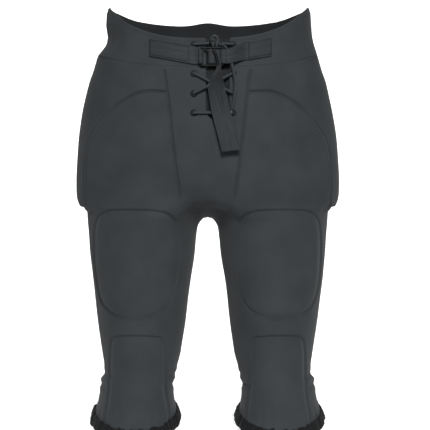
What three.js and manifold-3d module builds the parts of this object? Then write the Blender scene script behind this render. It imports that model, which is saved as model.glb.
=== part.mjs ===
// Padded sports pants, size in millimetres, +Z up, +X to the wearer's left, -Y to the front.
// The origin is the centre of the waist opening. A thin knit shell is lofted, cut along its seams into
// panels, and lined with foam pads, pockets and elastic. A lace and a webbing belt close the front.
import * as THREE from 'three';
import { mergeVertices } from 'three/addons/utils/BufferGeometryUtils.js';
import Module from 'manifold-3d';

const wasm = await Module();
wasm.setup();

// ---- Driving dimensions -------------------------------------------------------------------------
const KNIT = 1.8;                 // shell fabric
const SEAM_GAP = 0.34;            // thread room between two panels
const SEAM_RUN_ON = 1;            // a seam runs this far across the one that it starts from
const REST_GAP = 0.35;            // room between layers that lie on each other
const HIP_PAD = 11;               // pad thicknesses
const THIGH_PAD = 12;
const KNEE_PAD = 10;
const TAILBONE_PAD = 10;
const POCKET_CLOTH = 1.2;
const POCKET_MARGIN = 7;          // how far a pocket reaches past its pad
const ELASTIC = 1.4;
const WEBBING = 1.8;              // belt webbing thickness
const BELT_WIDTH = 28;
const BAND_SAG = 0.6;             // a strap's straight steps lie this far off the rounded waistband
const FRONT_SHIFT = 9;            // the fly sits a little to the wearer's left of the middle
const FLY_HALF_WIDTH = 12;
const FLY_BOTTOM = -158;
const EYELET_SPREAD = 29;         // from the middle of the fly to an eyelet
const EYELET_ROWS = [-43, -87, -117, -146];
const EYELET_BORE = 2.3;
const EYELET_BARREL = 3.0;
const EYELET_FLANGE = 5.2;
const EYELET_PLAY = 0.5;
const EYELET_RIM = 1.3;           // height of an eyelet's face over the cloth
const LACE_RADIUS = 1.7;
const BAR_RADIUS = 1.8;           // buckle wire
const BAR_PLAY = 0.6;             // room of a webbing fold on its bar
const ROUNDNESS = 0.92;          // 1 is an ellipse, and less is nearer to a box
const PINCH_WIDTH = 42;
const TORSO_SIDES = 40;
const LEG_SIDES = 20;
const REACH = 260;                // longer than the garment is deep or wide from its middle

// Torso levels: height at the side, half width, depth to the front and back, share of the waist dip,
// and how far the middle is pinched in where the body divides into two legs.
const TORSO = [
  { z: 23, half: 160, front: 98, back: 102, dip: 1, pinch: 0 },
  { z: -15, half: 163, front: 100, back: 104, dip: 0.7, pinch: 0 },
  { z: -53, half: 172, front: 103, back: 107, dip: 0.41, pinch: 0 },
  { z: -98, half: 185, front: 108, back: 114, dip: 0.08, pinch: 0 },
  { z: -145, half: 195, front: 112, back: 121, dip: 0, pinch: 0 },
  { z: -190, half: 201, front: 114, back: 127, dip: 0, pinch: 0 },
  { z: -243, half: 204, front: 112, back: 128, dip: 0, pinch: 0.06 },
  { z: -272, half: 203, front: 108, back: 122, dip: 0, pinch: 0.16 },
  { z: -285, half: 199, front: 106, back: 118, dip: 0, pinch: 0.24 },
  { z: -293, half: 188, front: 103, back: 114, dip: 0, pinch: 0.32 },
];
const FRONT_DIP = 56;             // how far the waist's edge drops from the side to the front
const BACK_DIP = 15;
const BACK_HUMP = 6;              // the elastic's rise at the middle of the back
const WAIST_SEAM_LEVEL = 2;       // the torso level that is the waistband's lower seam

// Leg levels: height, centre, half width and half depth of the left leg; the right one is its mirror.
const LEG = [
  { z: -262, x: 97, half: 88, y: 6, depth: 100 },
  { z: -293, x: 96, half: 91.5, y: 5, depth: 101 },
  { z: -315, x: 100.8, half: 85.3, y: 3, depth: 99 },
  { z: -354, x: 101.5, half: 81.5, y: 0, depth: 94 },
  { z: -412, x: 102.6, half: 74, y: -3, depth: 87 },
  { z: -470, x: 102.4, half: 67.2, y: -6, depth: 79 },
  { z: -509, x: 102.4, half: 61.1, y: -8, depth: 73 },
  { z: -540, x: 104.5, half: 55.5, y: -10, depth: 68 },
  { z: -556, x: 109.4, half: 56.1, y: -10, depth: 69 },
  { z: -590, x: 111, half: 60, y: -10, depth: 73 },
  { z: -602, x: 111.5, half: 63.5, y: -10, depth: 76 },
];
const CUFF_SLOPE = 0.28;          // the hem drops towards the front of the leg
const CUFF_SLOPE_START = -509;
const CUFF_SLOPE_FULL = -590;
const HEM = -602;
const BINDING_HEIGHT = 17;
const BINDING_WALL = 3;

// ---- Colours and finishes -----------------------------------------------------------------------
const cloth = (color, roughness = 0.9) => new THREE.MeshStandardMaterial({
  color, roughness, metalness: 0,
});
const KNIT_LOOK = cloth(0x3c4043);
const BAND_LOOK = cloth(0x41464a);
const DARK_LOOK = cloth(0x1f2426);
const BINDING_LOOK = cloth(0x15191b);
const FOAM_LOOK = cloth(0x2c2f31, 0.8);
const WEBBING_LOOK = cloth(0x45494c, 0.75);
const LACE_LOOK = cloth(0x4a4e51, 0.8);
const METAL_LOOK = new THREE.MeshStandardMaterial({ color: 0x17191a, roughness: 0.35, metalness: 0.9 });

// ---- Solids -------------------------------------------------------------------------------------
/** Turns a three.js geometry into a solid. */
function solid(geometry) {
  const bare = geometry.clone();
  bare.deleteAttribute('normal');
  bare.deleteAttribute('uv');
  const merged = mergeVertices(bare, 1e-4);
  const mesh = new wasm.Mesh({
    numProp: 3,
    vertProperties: new Float32Array(merged.attributes.position.array),
    triVerts: new Uint32Array(merged.index.array),
  });
  return new wasm.Manifold(mesh);
}

/** Closed body through rings of the same number of points, with a cap at each end. */
function loft(rings) {
  const sides = rings[0].length;
  const points = rings.flat();
  const faces = [];
  for (let level = 0; level + 1 < rings.length; level += 1) {
    for (let side = 0; side < sides; side += 1) {
      const a = level * sides + side;
      const b = level * sides + ((side + 1) % sides);
      faces.push(a, b, b + sides, a, b + sides, a + sides);
    }
  }
  const ends = [[rings[0], 0, false], [rings.at(-1), (rings.length - 1) * sides, true]];
  for (const [ring, first, flip] of ends) {
    const middle = ring.reduce((sum, p) => sum.add(p), new THREE.Vector3()).divideScalar(sides);
    const centre = points.push(middle) - 1;
    for (let side = 0; side < sides; side += 1) {
      const a = first + side;
      const b = first + ((side + 1) % sides);
      faces.push(...(flip ? [a, b, centre] : [b, a, centre]));
    }
  }
  const geometry = new THREE.BufferGeometry().setFromPoints(points);
  geometry.setIndex(signedVolume(points, faces) < 0 ? faces.reverse() : faces);
  return solid(geometry);
}

/** Volume that a list of triangles closes, negative where they point inwards. */
function signedVolume(points, faces) {
  let volume = 0;
  for (let i = 0; i < faces.length; i += 3) {
    const [a, b, c] = [points[faces[i]], points[faces[i + 1]], points[faces[i + 2]]];
    volume += a.dot(new THREE.Vector3().crossVectors(b, c)) / 6;
  }
  return volume;
}

/** Prism of an outline drawn in X and Z, through the front, the back or both halves of the garment. */
function prism(outline, half) {
  const shape = new THREE.Shape(outline.map(([x, z]) => new THREE.Vector2(x, z)));
  const depth = half === 'both' ? 2 * REACH : REACH;
  const geometry = new THREE.ExtrudeGeometry(shape, { depth, bevelEnabled: false });
  geometry.rotateX(Math.PI / 2);
  geometry.translate(0, half === 'front' ? 0 : REACH, 0);
  return solid(geometry);
}

/** Prism of an outline drawn in Y and Z, through the left or the right side. */
function sidePrism(outline, side) {
  const shape = new THREE.Shape(outline.map(([y, z]) => new THREE.Vector2(y, z)));
  const geometry = new THREE.ExtrudeGeometry(shape, { depth: REACH, bevelEnabled: false });
  geometry.rotateX(Math.PI / 2);
  geometry.rotateZ(Math.PI / 2);
  geometry.translate(side > 0 ? 0 : -REACH, 0, 0);
  return solid(geometry);
}

/** Normals of an outline or a line, to the left of its direction, at each of its points. */
function lineNormals(points, closed) {
  const last = points.length - 1;
  return points.map((point, i) => {
    const before = points[i === 0 ? (closed ? last : 0) : i - 1];
    const after = points[i === last ? (closed ? 0 : last) : i + 1];
    const run = new THREE.Vector2(after[0] - before[0], after[1] - before[1]).normalize();
    return [-run.y, run.x];
  });
}

/** The outline grown by a distance; it runs anticlockwise. */
function grown(outline, distance) {
  const normals = lineNormals(outline, true);
  return outline.map(([x, z], i) => [x - normals[i][0] * distance, z - normals[i][1] * distance]);
}

/** Thin cut along a seam line in X and Z. */
function seamCut(line, half) {
  const normals = lineNormals(line, false);
  const shift = (sign) => line.map(([x, z], i) => [
    x + sign * normals[i][0] * SEAM_GAP / 2,
    z + sign * normals[i][1] * SEAM_GAP / 2,
  ]);
  return prism([...shift(-1), ...shift(1).reverse()], half);
}

/** Box between two corners. */
function block(low, high) {
  const size = high.map((value, i) => value - low[i]);
  const geometry = new THREE.BoxGeometry(...size);
  geometry.translate(...low.map((value, i) => value + size[i] / 2));
  return solid(geometry);
}

/** Points of a smooth curve through a few points of a seam or an outline. */
function smooth(points, steps, closed = false) {
  const curve = new THREE.CatmullRomCurve3(points.map(([x, z]) => new THREE.Vector3(x, 0, z)), closed);
  const all = curve.getPoints(steps).map((p) => [p.x, p.z]);
  return closed ? all.slice(0, -1) : all;
}

/** The line with its first end run on a little, across the seam that it starts from. */
function runOn(line) {
  const [[x0, z0], [x1, z1]] = line;
  const step = SEAM_RUN_ON / Math.hypot(x1 - x0, z1 - z0);
  return [[x0 - (x1 - x0) * step, z0 - (z1 - z0) * step], ...line.slice(1)];
}

const mirrored = (points) => points.map(([x, z]) => [-x, z]).reverse();

// ---- The body's surface -------------------------------------------------------------------------
const mix = (a, b, t) => a + (b - a) * t;

/** Values of a table of levels at a fractional row. */
function levelAt(table, row) {
  const index = Math.min(Math.max(Math.floor(row), 0), table.length - 2);
  const [upper, lower] = [table[index], table[index + 1]];
  return Object.fromEntries(Object.keys(upper).map((key) => [key, mix(upper[key], lower[key], row - index)]));
}

/** How far the waist's edge lies under its side corners, at a share u of the half width. */
function waistDip(u, isFront) {
  if (isFront) return FRONT_DIP * (1 - u ** 2.8);
  return BACK_DIP * (1 - u ** 3) - BACK_HUMP * Math.exp(-((u / 0.16) ** 2));
}

/** A point of a torso level, inset under the surface. */
function torsoPoint(level, angle, inset) {
  const [c, s] = [Math.cos(angle), Math.sin(angle)];
  const x = (level.half - inset) * Math.sign(c) * Math.abs(c) ** ROUNDNESS;
  const depth = s < 0 ? level.front : level.back;
  const pinch = 1 - level.pinch * Math.exp(-((x / PINCH_WIDTH) ** 2));
  const y = (depth - inset) * pinch * Math.sign(s) * Math.abs(s) ** ROUNDNESS;
  return new THREE.Vector3(x, y, level.z - level.dip * waistDip(Math.abs(x) / level.half, s < 0));
}

const turn = (count) => Array.from({ length: count }, (_, i) => (2 * Math.PI * (i + 0.5)) / count);

const LIFT_START = -243;          // an inner torso's floor is raised over the levels under this height
const RUN_OUT = 12;               // an inner body runs this far out of the openings

/** The torso as a solid, inset under its surface; its floor is raised by the same amount. */
function torso(inset) {
  const floor = TORSO.at(-1).z;
  const lifted = (z) => mix(LIFT_START, floor + inset, (LIFT_START - z) / (LIFT_START - floor));
  const levels = TORSO.map((level) => ({ ...level, z: level.z > LIFT_START ? level.z : lifted(level.z) }));
  if (inset > 0) levels.unshift({ ...levels[0], z: levels[0].z + RUN_OUT });
  return loft(levels.map((level) => turn(TORSO_SIDES).map((angle) => torsoPoint(level, angle, inset))));
}

/** Front surface's Y at a place in X and Z, inset under the surface. */
function frontY(x, z, inset = 0) {
  let [low, high] = [0, TORSO.length - 1];
  for (let step = 0; step < 40; step += 1) {
    const middle = (low + high) / 2;
    const level = levelAt(TORSO, middle);
    if (level.z - level.dip * waistDip(Math.abs(x) / level.half, true) > z) low = middle;
    else high = middle;
  }
  const level = levelAt(TORSO, low);
  const share = Math.min(Math.abs(x) / (level.half - inset), 1);
  const rise = Math.sqrt(1 - share ** (2 / ROUNDNESS)) ** ROUNDNESS;
  return -(level.front - inset) * (1 - level.pinch * Math.exp(-((x / PINCH_WIDTH) ** 2))) * rise;
}

/** A leg level at any height, with the cuff's slope. */
function legLevel(z) {
  const table = LEG;
  let row = table.findIndex((level) => level.z <= z);
  if (row < 0) row = table.length - 1;
  row = Math.max(row, 1);
  const t = (table[row - 1].z - z) / (table[row - 1].z - table[row].z);
  return { ...levelAt(table, row - 1 + Math.min(t, 1)), z };
}

/** A ring of a leg, inset under its surface. */
function legRing(level, inset, side) {
  const slope = CUFF_SLOPE * THREE.MathUtils.clamp(
    (CUFF_SLOPE_START - level.z) / (CUFF_SLOPE_START - CUFF_SLOPE_FULL), 0, 1);
  return turn(LEG_SIDES).map((angle) => {
    const x = level.x + (level.half - inset) * Math.cos(angle);
    const y = level.y + (level.depth - inset) * Math.sin(angle);
    return new THREE.Vector3(side * x, y, level.z + slope * (y - level.y));
  });
}

/** A leg as a solid between two heights, inset under its surface. */
function leg(side, inset, top = LEG[0].z, bottom = HEM) {
  const between = LEG.map((level) => level.z).filter((z) => z < top && z > bottom);
  return loft([top, ...between, bottom].map((z) => legRing(legLevel(z), inset, side)));
}

const UPPER_PULL = 12;            // an inner leg starts lower inside the torso than the outer one

/** Everything inside the surface, inset by a distance. */
function bodyInside(inset) {
  const bottom = HEM - (inset > 0 ? RUN_OUT : 0);
  const top = LEG[0].z - (inset > 0 ? UPPER_PULL : 0);
  const legs = leg(1, inset, top, bottom).add(leg(-1, inset, top, bottom));
  return torso(inset).add(legs);
}

const layer = (outerInset, thickness) => bodyInside(outerInset).subtract(bodyInside(outerInset + thickness));

// ---- Seams --------------------------------------------------------------------------------------
const seamLevel = TORSO[WAIST_SEAM_LEVEL];

/** Height of the waistband's lower seam. */
function waistSeam(x, isFront) {
  return seamLevel.z - seamLevel.dip * waistDip(Math.min(Math.abs(x) / seamLevel.half, 1), isFront);
}

const seamShares = [0, 0.25, 0.5, 0.7, 0.85, 0.93, 1, 1.4];
const seamStations = [...seamShares.slice(1).reverse().map((share) => -share), ...seamShares]
  .map((share) => share * seamLevel.half);
const waistSeamLine = (isFront) => seamStations.map((x) => [x, waistSeam(x, isFront)]);
const CROTCH = -306;
const YOKE_BOTTOM = -287;
const gussetLine = runOn(smooth([[66, waistSeam(66, true)], [60, -114], [55, -158], [50, -205], [42, -259],
  [37, -286], [20, -299], [0, CROTCH]], 12));
const archLine = runOn(smooth([[60, -114], [100, -114], [138, -133], [164, -160], [181, -189], [186, -215],
  [187, -250], [187, YOKE_BOTTOM]], 12));
const backArchLine = runOn(smooth([[112, waistSeam(112, false)], [140, -95], [166, -145], [181, -200],
  [187, -250], [187, YOKE_BOTTOM]], 8));
const seatLine = smooth([[0, CROTCH], [30, -301], [100, -304], [187, YOKE_BOTTOM]], 8);
const yokeFoot = [[187, YOKE_BOTTOM], [REACH - 30, YOKE_BOTTOM]];

const cuts = [];
cuts.push(seamCut(waistSeamLine(true), 'front'), seamCut(waistSeamLine(false), 'back'));
for (const trace of [(line) => line, mirrored]) {
  cuts.push(seamCut(trace(gussetLine), 'front'));
  cuts.push(seamCut(trace(archLine), 'front'));
  cuts.push(seamCut(trace(yokeFoot), 'both'));
  cuts.push(seamCut(trace(backArchLine), 'back'));
  cuts.push(seamCut(trace(seatLine), 'back'));
}
const halfGap = SEAM_GAP / 2;
cuts.push(block([-REACH, -halfGap, HEM - 60], [REACH, halfGap, YOKE_BOTTOM]));
const sideNotch = 2;              // the side seam runs this far into the yoke, where front and back seams meet
cuts.push(block([-REACH, -halfGap, seamLevel.z - sideNotch], [REACH, halfGap, 60]));
cuts.push(block([-halfGap, 0, CROTCH - 20], [halfGap, REACH, waistSeam(0, false)]));

// The fly is a slot with a round foot.
const flyFoot = Array.from({ length: 7 }, (_, i) => {
  const angle = Math.PI + (Math.PI * i) / 6;
  return [FRONT_SHIFT + FLY_HALF_WIDTH * Math.cos(angle), FLY_BOTTOM + FLY_HALF_WIDTH * (1 + Math.sin(angle))];
});
const flyOutline = [...flyFoot, [FRONT_SHIFT + FLY_HALF_WIDTH, 40], [FRONT_SHIFT - FLY_HALF_WIDTH, 40]];
cuts.push(prism(flyOutline, 'front'));

// ---- Eyelets ------------------------------------------------------------------------------------
/** Place and outward direction of an eyelet; side 1 is the wearer's left. */
function eyeletSeat(side, row) {
  const x = FRONT_SHIFT + side * EYELET_SPREAD;
  const z = EYELET_ROWS[row];
  const step = 4;
  const rise = new THREE.Vector3(0, frontY(x, z + step) - frontY(x, z - step), 2 * step);
  const across = new THREE.Vector3(2 * step, frontY(x + step, z) - frontY(x - step, z), 0);
  return { place: new THREE.Vector3(x, frontY(x, z), z), out: across.cross(rise).normalize() };
}

/** Turns a geometry made along +Y to stand along a direction at a place. */
function stood(geometry, { place, out }) {
  geometry.applyQuaternion(new THREE.Quaternion().setFromUnitVectors(new THREE.Vector3(0, 1, 0), out));
  return geometry.translate(...place.toArray());
}

const seats = [-1, 1].flatMap((side) => EYELET_ROWS.map(
  (_, row) => ({ side, row, seat: eyeletSeat(side, row) })));
const eyeletHoles = seats.map(({ seat }) => solid(stood(
  new THREE.CylinderGeometry(EYELET_BARREL + EYELET_PLAY, EYELET_BARREL + EYELET_PLAY, 24, 12), seat)));
cuts.push(...eyeletHoles);

const EYELET_BACK = KNIT + REST_GAP + ELASTIC + 1.2;
function eyelet(seat) {
  const profile = [[EYELET_BORE, -EYELET_BACK], [EYELET_BARREL, -EYELET_BACK], [EYELET_BARREL, REST_GAP],
    [EYELET_FLANGE, REST_GAP], [EYELET_FLANGE - 0.4, EYELET_RIM - 0.2], [EYELET_BORE, EYELET_RIM],
    [EYELET_BORE, -EYELET_BACK]];
  return stood(new THREE.LatheGeometry(profile.map(([r, h]) => new THREE.Vector2(r, h)), 10), seat);
}

// ---- Scene --------------------------------------------------------------------------------------
const pants = new THREE.Group();

/** Adds a piece from a solid or a geometry. */
function piece(name, shape, material) {
  let geometry = shape;
  if (!(shape instanceof THREE.BufferGeometry)) {
    const mesh = shape.getMesh();
    geometry = new THREE.BufferGeometry();
    geometry.setAttribute('position', new THREE.BufferAttribute(new Float32Array(mesh.vertProperties), 3));
    geometry.setIndex([...mesh.triVerts]);
  }
  const node = new THREE.Mesh(geometry, material);
  node.name = name;
  pants.add(node);
  return node;
}

const largest = (body) => body.decompose().sort((a, b) => b.volume() - a.volume())[0];

// Panels: the shell, cut along its seams, with each panel found by a place on it.
let shell = bodyInside(0).subtract(bodyInside(KNIT));
for (const cut of cuts) shell = shell.subtract(cut);
const panels = shell.decompose().filter((panel) => panel.volume() > 200);

/** The panel that has the vertex nearest to a place. */
function panelAt(place) {
  let best = { gap: Infinity };
  panels.forEach((panel) => {
    const { vertProperties } = panel.getMesh();
    for (let i = 0; i < vertProperties.length; i += 3) {
      const gap = Math.hypot(...place.map((value, k) => value - vertProperties[i + k]));
      if (gap < best.gap) best = { gap, panel };
    }
  });
  return best.panel;
}

const PANEL_PLACES = {
  waistband_front: [110, -75, -15],
  hip_yoke: [203, 0, -200],
  front_leg: [102, -90, -380],
  seat: [80, 115, -180],
  back_leg: [102, 85, -400],
};
for (const [name, [x, y, z]] of Object.entries(PANEL_PLACES)) {
  const look = name === 'waistband_front' ? BAND_LOOK : KNIT_LOOK;
  piece(`${name}_left`, panelAt([x, y, z]), look);
  piece(`${name}_right`, panelAt([-x, y, z]), look);
}
piece('waistband_back', panelAt([60, 100, -20]), BAND_LOOK);
piece('front_gusset', panelAt([0, -112, -210]), KNIT_LOOK);

// Pads and their pockets.
const padInset = KNIT + REST_GAP;
const thighOutline = smooth([[48, -298], [66, -292], [110, -292], [156, -292], [170, -298], [173, -330],
  [172, -385], [163, -430], [142, -449], [110, -454], [78, -450], [56, -434], [44, -400], [41, -340]].reverse(),
  14, true);
const kneeOutline = smooth([[70, -484], [105, -481], [140, -484], [146, -500], [147, -560], [142, -596],
  [106, -604], [70, -596], [65, -560], [65, -500]].reverse(), 10, true);
const tailboneOutline = smooth([[-30, -95], [30, -95], [46, -112], [44, -170], [26, -225], [0, -236],
  [-26, -225], [-44, -170], [-46, -112]].reverse(), 12, true);
const hipOutline = smooth([[-38, -84], [0, -76], [38, -84], [66, -130], [72, -200], [64, -262], [30, -278],
  [-30, -278], [-62, -262], [-70, -200], [-66, -130]].reverse(), 12, true);

const thighLayer = layer(padInset, THIGH_PAD);
const kneeLayer = layer(padInset, KNEE_PAD);
const tailboneLayer = layer(padInset, TAILBONE_PAD);
const hipLayer = layer(padInset, HIP_PAD);
const pocketLayer = (pad) => layer(padInset + pad + REST_GAP, POCKET_CLOTH);
const thighPocketLayer = pocketLayer(THIGH_PAD);
const kneePocketLayer = pocketLayer(KNEE_PAD);
const tailbonePocketLayer = pocketLayer(TAILBONE_PAD);
const hipPocketLayer = pocketLayer(HIP_PAD);
for (const [side, end] of [[1, 'left'], [-1, 'right']]) {
  const face = (outline) => prism(side > 0 ? outline : mirrored(outline), 'front');
  piece(`thigh_pad_${end}`, largest(thighLayer.intersect(face(thighOutline))), FOAM_LOOK);
  piece(`thigh_pocket_${end}`, largest(thighPocketLayer.intersect(face(grown(thighOutline, POCKET_MARGIN)))),
    DARK_LOOK);
  piece(`knee_pad_${end}`, largest(kneeLayer.intersect(face(kneeOutline))), FOAM_LOOK);
  piece(`knee_pocket_${end}`, largest(kneePocketLayer.intersect(face(grown(kneeOutline, POCKET_MARGIN)))),
    DARK_LOOK);
  piece(`hip_pad_${end}`, largest(hipLayer.intersect(sidePrism(hipOutline, side))), FOAM_LOOK);
  piece(`hip_pocket_${end}`, largest(hipPocketLayer.intersect(sidePrism(hipOutline, side))), DARK_LOOK);
}
piece('tailbone_pad', largest(tailboneLayer.intersect(prism(tailboneOutline, 'back'))), FOAM_LOOK);
piece('tailbone_pocket', largest(tailbonePocketLayer.intersect(
  prism(grown(tailboneOutline, POCKET_MARGIN), 'back'))), DARK_LOOK);

// Elastic tapes, the tongue behind the fly and the facings that carry the eyelets.
const tapeLayer = layer(padInset, ELASTIC);
const TAPE_TOP = -12;
const TAPE_WIDTH = 36;
const TAPE_REACH = 150;
piece('waist_elastic', largest(tapeLayer.intersect(prism([[-TAPE_REACH, TAPE_TOP - TAPE_WIDTH],
  [TAPE_REACH, TAPE_TOP - TAPE_WIDTH], [TAPE_REACH, TAPE_TOP], [-TAPE_REACH, TAPE_TOP]], 'back'))), DARK_LOOK);
const PLACKET_WIDTH = 26;
const FLY_TOP = -37;
for (const [side, end] of [[1, 'left'], [-1, 'right']]) {
  const edge = FRONT_SHIFT + side * FLY_HALF_WIDTH;
  const outer = edge + side * PLACKET_WIDTH;
  const [low, high] = [Math.min(edge, outer), Math.max(edge, outer)];
  let placket = tapeLayer.intersect(prism([[low, FLY_BOTTOM], [high, FLY_BOTTOM], [high, FLY_TOP],
    [low, FLY_TOP]], 'front'));
  for (const hole of eyeletHoles) placket = placket.subtract(hole);
  piece(`fly_placket_${end}`, largest(placket), DARK_LOOK);
}
const tongueHalf = EYELET_SPREAD - EYELET_BARREL - 3.5;
const tongueLayer = layer(padInset + ELASTIC + REST_GAP, ELASTIC);
piece('fly_tongue', largest(tongueLayer.intersect(prism([[FRONT_SHIFT - tongueHalf, FLY_BOTTOM - 8],
  [FRONT_SHIFT + tongueHalf, FLY_BOTTOM - 8], [FRONT_SHIFT + tongueHalf, FLY_TOP],
  [FRONT_SHIFT - tongueHalf, FLY_TOP]], 'front'))), DARK_LOOK);

// Hems: a gathered binding under the leg and an elastic tape inside it.
const TAPE_OVER_HEM = 4;
const HEM_TAPE_WIDTH = 8;
for (const [side, end] of [[1, 'left'], [-1, 'right']]) {
  const top = HEM - SEAM_GAP;
  const levels = [[top, -0.4], [top - 5, -3.2], [top - 11, -2.6], [top - BINDING_HEIGHT, 2.5]];
  const ring = (extra, shift) => loft(levels.map(([z, flare], i) => {
    const moved = z + (i === 0 ? shift : 0) - (i === levels.length - 1 ? shift : 0);
    const flat = { ...legLevel(HEM), z: moved };
    return legRing(flat, flare + extra, side);
  }));
  piece(`hem_binding_${end}`, ring(0, 0).subtract(ring(BINDING_WALL, 3)), BINDING_LOOK);
  const tapeTop = HEM + TAPE_OVER_HEM + HEM_TAPE_WIDTH;
  const tape = leg(side, padInset, tapeTop, HEM + TAPE_OVER_HEM);
  const hollow = leg(side, padInset + ELASTIC, tapeTop + 3, HEM + TAPE_OVER_HEM - 3);
  piece(`leg_elastic_${end}`, tape.subtract(hollow), DARK_LOOK);
}

for (const { side, row, seat } of seats) {
  piece(`eyelet_${side > 0 ? 'left' : 'right'}_${row + 1}`, eyelet(seat), METAL_LOOK);
}

// ---- Lace ---------------------------------------------------------------------------------------
/** A path that turns at its own points, so that a cord has one section at each of them. */
class Route extends THREE.Curve {
  constructor(points) {
    super();
    this.points = points;
  }

  getPointAt(u, target = new THREE.Vector3()) {
    const at = u * (this.points.length - 1);
    const from = Math.min(Math.floor(at + 1e-6), this.points.length - 2);
    return target.lerpVectors(this.points[from], this.points[from + 1], at - from);
  }

  getTangentAt(u, target = new THREE.Vector3()) {
    const at = Math.round(u * (this.points.length - 1));
    const before = this.points[Math.max(at - 1, 0)];
    const here = this.points[at];
    const after = this.points[Math.min(at + 1, this.points.length - 1)];
    const inward = new THREE.Vector3().subVectors(here, before).normalize();
    const outward = new THREE.Vector3().subVectors(after, here).normalize();
    return target.addVectors(inward, outward).normalize();
  }
}

/** A round cord of eight sides along a route. */
function cord(points, radius) {
  const section = new THREE.Shape(Array.from({ length: 8 }, (_, i) => new THREE.Vector2(
    radius * Math.cos((Math.PI * i) / 4), radius * Math.sin((Math.PI * i) / 4))));
  return new THREE.ExtrudeGeometry(section, {
    steps: points.length - 1, bevelEnabled: false, extrudePath: new Route(points),
  });
}

const seatOf = (side, row) => seats.find((entry) => entry.side === side && entry.row === row).seat;
const off = ({ place, out }, distance) => place.clone().addScaledVector(out, distance);
const LACE_OVER = EYELET_RIM + LACE_RADIUS + 0.45;
const LACE_UNDER = EYELET_BACK + LACE_RADIUS + 1.2;

/** The lace going in through an eyelet, from its front to its back. */
const goesIn = (side, row) => [off(seatOf(side, row), LACE_OVER), off(seatOf(side, row), -LACE_UNDER)];
const comesOut = (side, row) => goesIn(side, row).reverse();
const KNOT = { x: FRONT_SHIFT + 3, z: -39.5, width: 18, depth: 9, height: 13 };
KNOT.y = frontY(KNOT.x, EYELET_ROWS[0]) - LACE_OVER;
const knotSide = (side) => new THREE.Vector3(KNOT.x + side * (KNOT.width / 2 + REST_GAP), KNOT.y, KNOT.z - 2);
const crossingZ = (EYELET_ROWS[1] + EYELET_ROWS[2]) / 2;
const crossing = (lift) => new THREE.Vector3(FRONT_SHIFT, frontY(FRONT_SHIFT, crossingZ) - lift, crossingZ);
const laceRoute = [knotSide(-1), ...goesIn(-1, 0), ...comesOut(-1, 1), crossing(LACE_OVER),
  ...goesIn(1, 2), ...comesOut(1, 3), ...goesIn(-1, 3), ...comesOut(-1, 2),
  crossing(LACE_OVER + 2 * LACE_RADIUS + 0.6), ...goesIn(1, 1), ...comesOut(1, 0), knotSide(1)];
piece('lace_main', cord(laceRoute, LACE_RADIUS), LACE_LOOK);
const knot = new THREE.SphereGeometry(0.5, 12, 8);
knot.scale(KNOT.width, KNOT.depth, KNOT.height);
piece('lace_knot', knot.translate(KNOT.x, KNOT.y, KNOT.z), LACE_LOOK);

// ---- Belt ---------------------------------------------------------------------------------------
const BUCKLE = { left: -10, middle: 5, right: 24, top: -49, bottom: -75 };
const FOLD_MARGIN = BAR_RADIUS + 0.5; // from a rail's middle to the webbing folded beside it
const sleeveOuter = BAR_RADIUS + BAR_PLAY + WEBBING;

/** Upright round bar or sleeve, open along a bore where one is given. */
function upright(x, y, bottom, top, radius, bore = 0) {
  const geometry = new THREE.CylinderGeometry(radius, radius, top - bottom, 12);
  const outer = solid(geometry.rotateX(Math.PI / 2).translate(x, y, (top + bottom) / 2));
  if (bore === 0) return outer;
  return outer.subtract(upright(x, y, bottom - 1, top + 1, bore));
}

/** Webbing through stations [x, top, bottom, y of its back]. */
function webbing(stations) {
  return loft(stations.map(([x, top, bottom, back]) => [
    new THREE.Vector3(x, back, bottom), new THREE.Vector3(x, back, top),
    new THREE.Vector3(x, back - WEBBING, top), new THREE.Vector3(x, back - WEBBING, bottom),
  ]));
}

/** Back of a strap that lies on the waistband. */
const onBand = (x, top, bottom) => Math.min(frontY(x, top), frontY(x, bottom)) - REST_GAP - BAND_SAG;

/** A strap on the waistband between two places, each [x, top edge]. */
function bandStations([x0, top0], [x1, top1], count) {
  return Array.from({ length: count }, (_, i) => {
    const t = i / (count - 1);
    const [x, top] = [mix(x0, x1, t), mix(top0, top1, t)];
    return [x, top, top - BELT_WIDTH, onBand(x, top, top - BELT_WIDTH)];
  });
}

const foldHeight = [BUCKLE.bottom + FOLD_MARGIN, BUCKLE.top - FOLD_MARGIN];
const buckleY = onBand(BUCKLE.left, ...foldHeight) - sleeveOuter;
const rightStations = bandStations([-87, -32], [-17, -46], 8);
rightStations.push([BUCKLE.left, foldHeight[1], foldHeight[0], buckleY + sleeveOuter]);
const fold = (x) => upright(x, buckleY, foldHeight[0], foldHeight[1], sleeveOuter, BAR_RADIUS + BAR_PLAY);
const barHole = (x) => upright(x, buckleY, foldHeight[0] - 20, foldHeight[1] + 20, BAR_RADIUS + BAR_PLAY);
piece('belt_strap_right', webbing(rightStations).add(fold(BUCKLE.left)).subtract(barHole(BUCKLE.left)),
  WEBBING_LOOK);

let buckle = upright(BUCKLE.left, buckleY, BUCKLE.bottom, BUCKLE.top, BAR_RADIUS)
  .add(upright(BUCKLE.middle, buckleY, BUCKLE.bottom, BUCKLE.top, BAR_RADIUS))
  .add(upright(BUCKLE.right, buckleY, BUCKLE.bottom, BUCKLE.top, BAR_RADIUS));
for (const z of [BUCKLE.bottom, BUCKLE.top]) {
  const rail = new THREE.CylinderGeometry(BAR_RADIUS, BAR_RADIUS, BUCKLE.right - BUCKLE.left + 1.4, 12);
  rail.rotateZ(Math.PI / 2).translate((BUCKLE.left + BUCKLE.right) / 2, buckleY, z);
  buckle = buckle.add(solid(rail));
}
piece('belt_buckle', buckle, METAL_LOOK);

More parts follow.
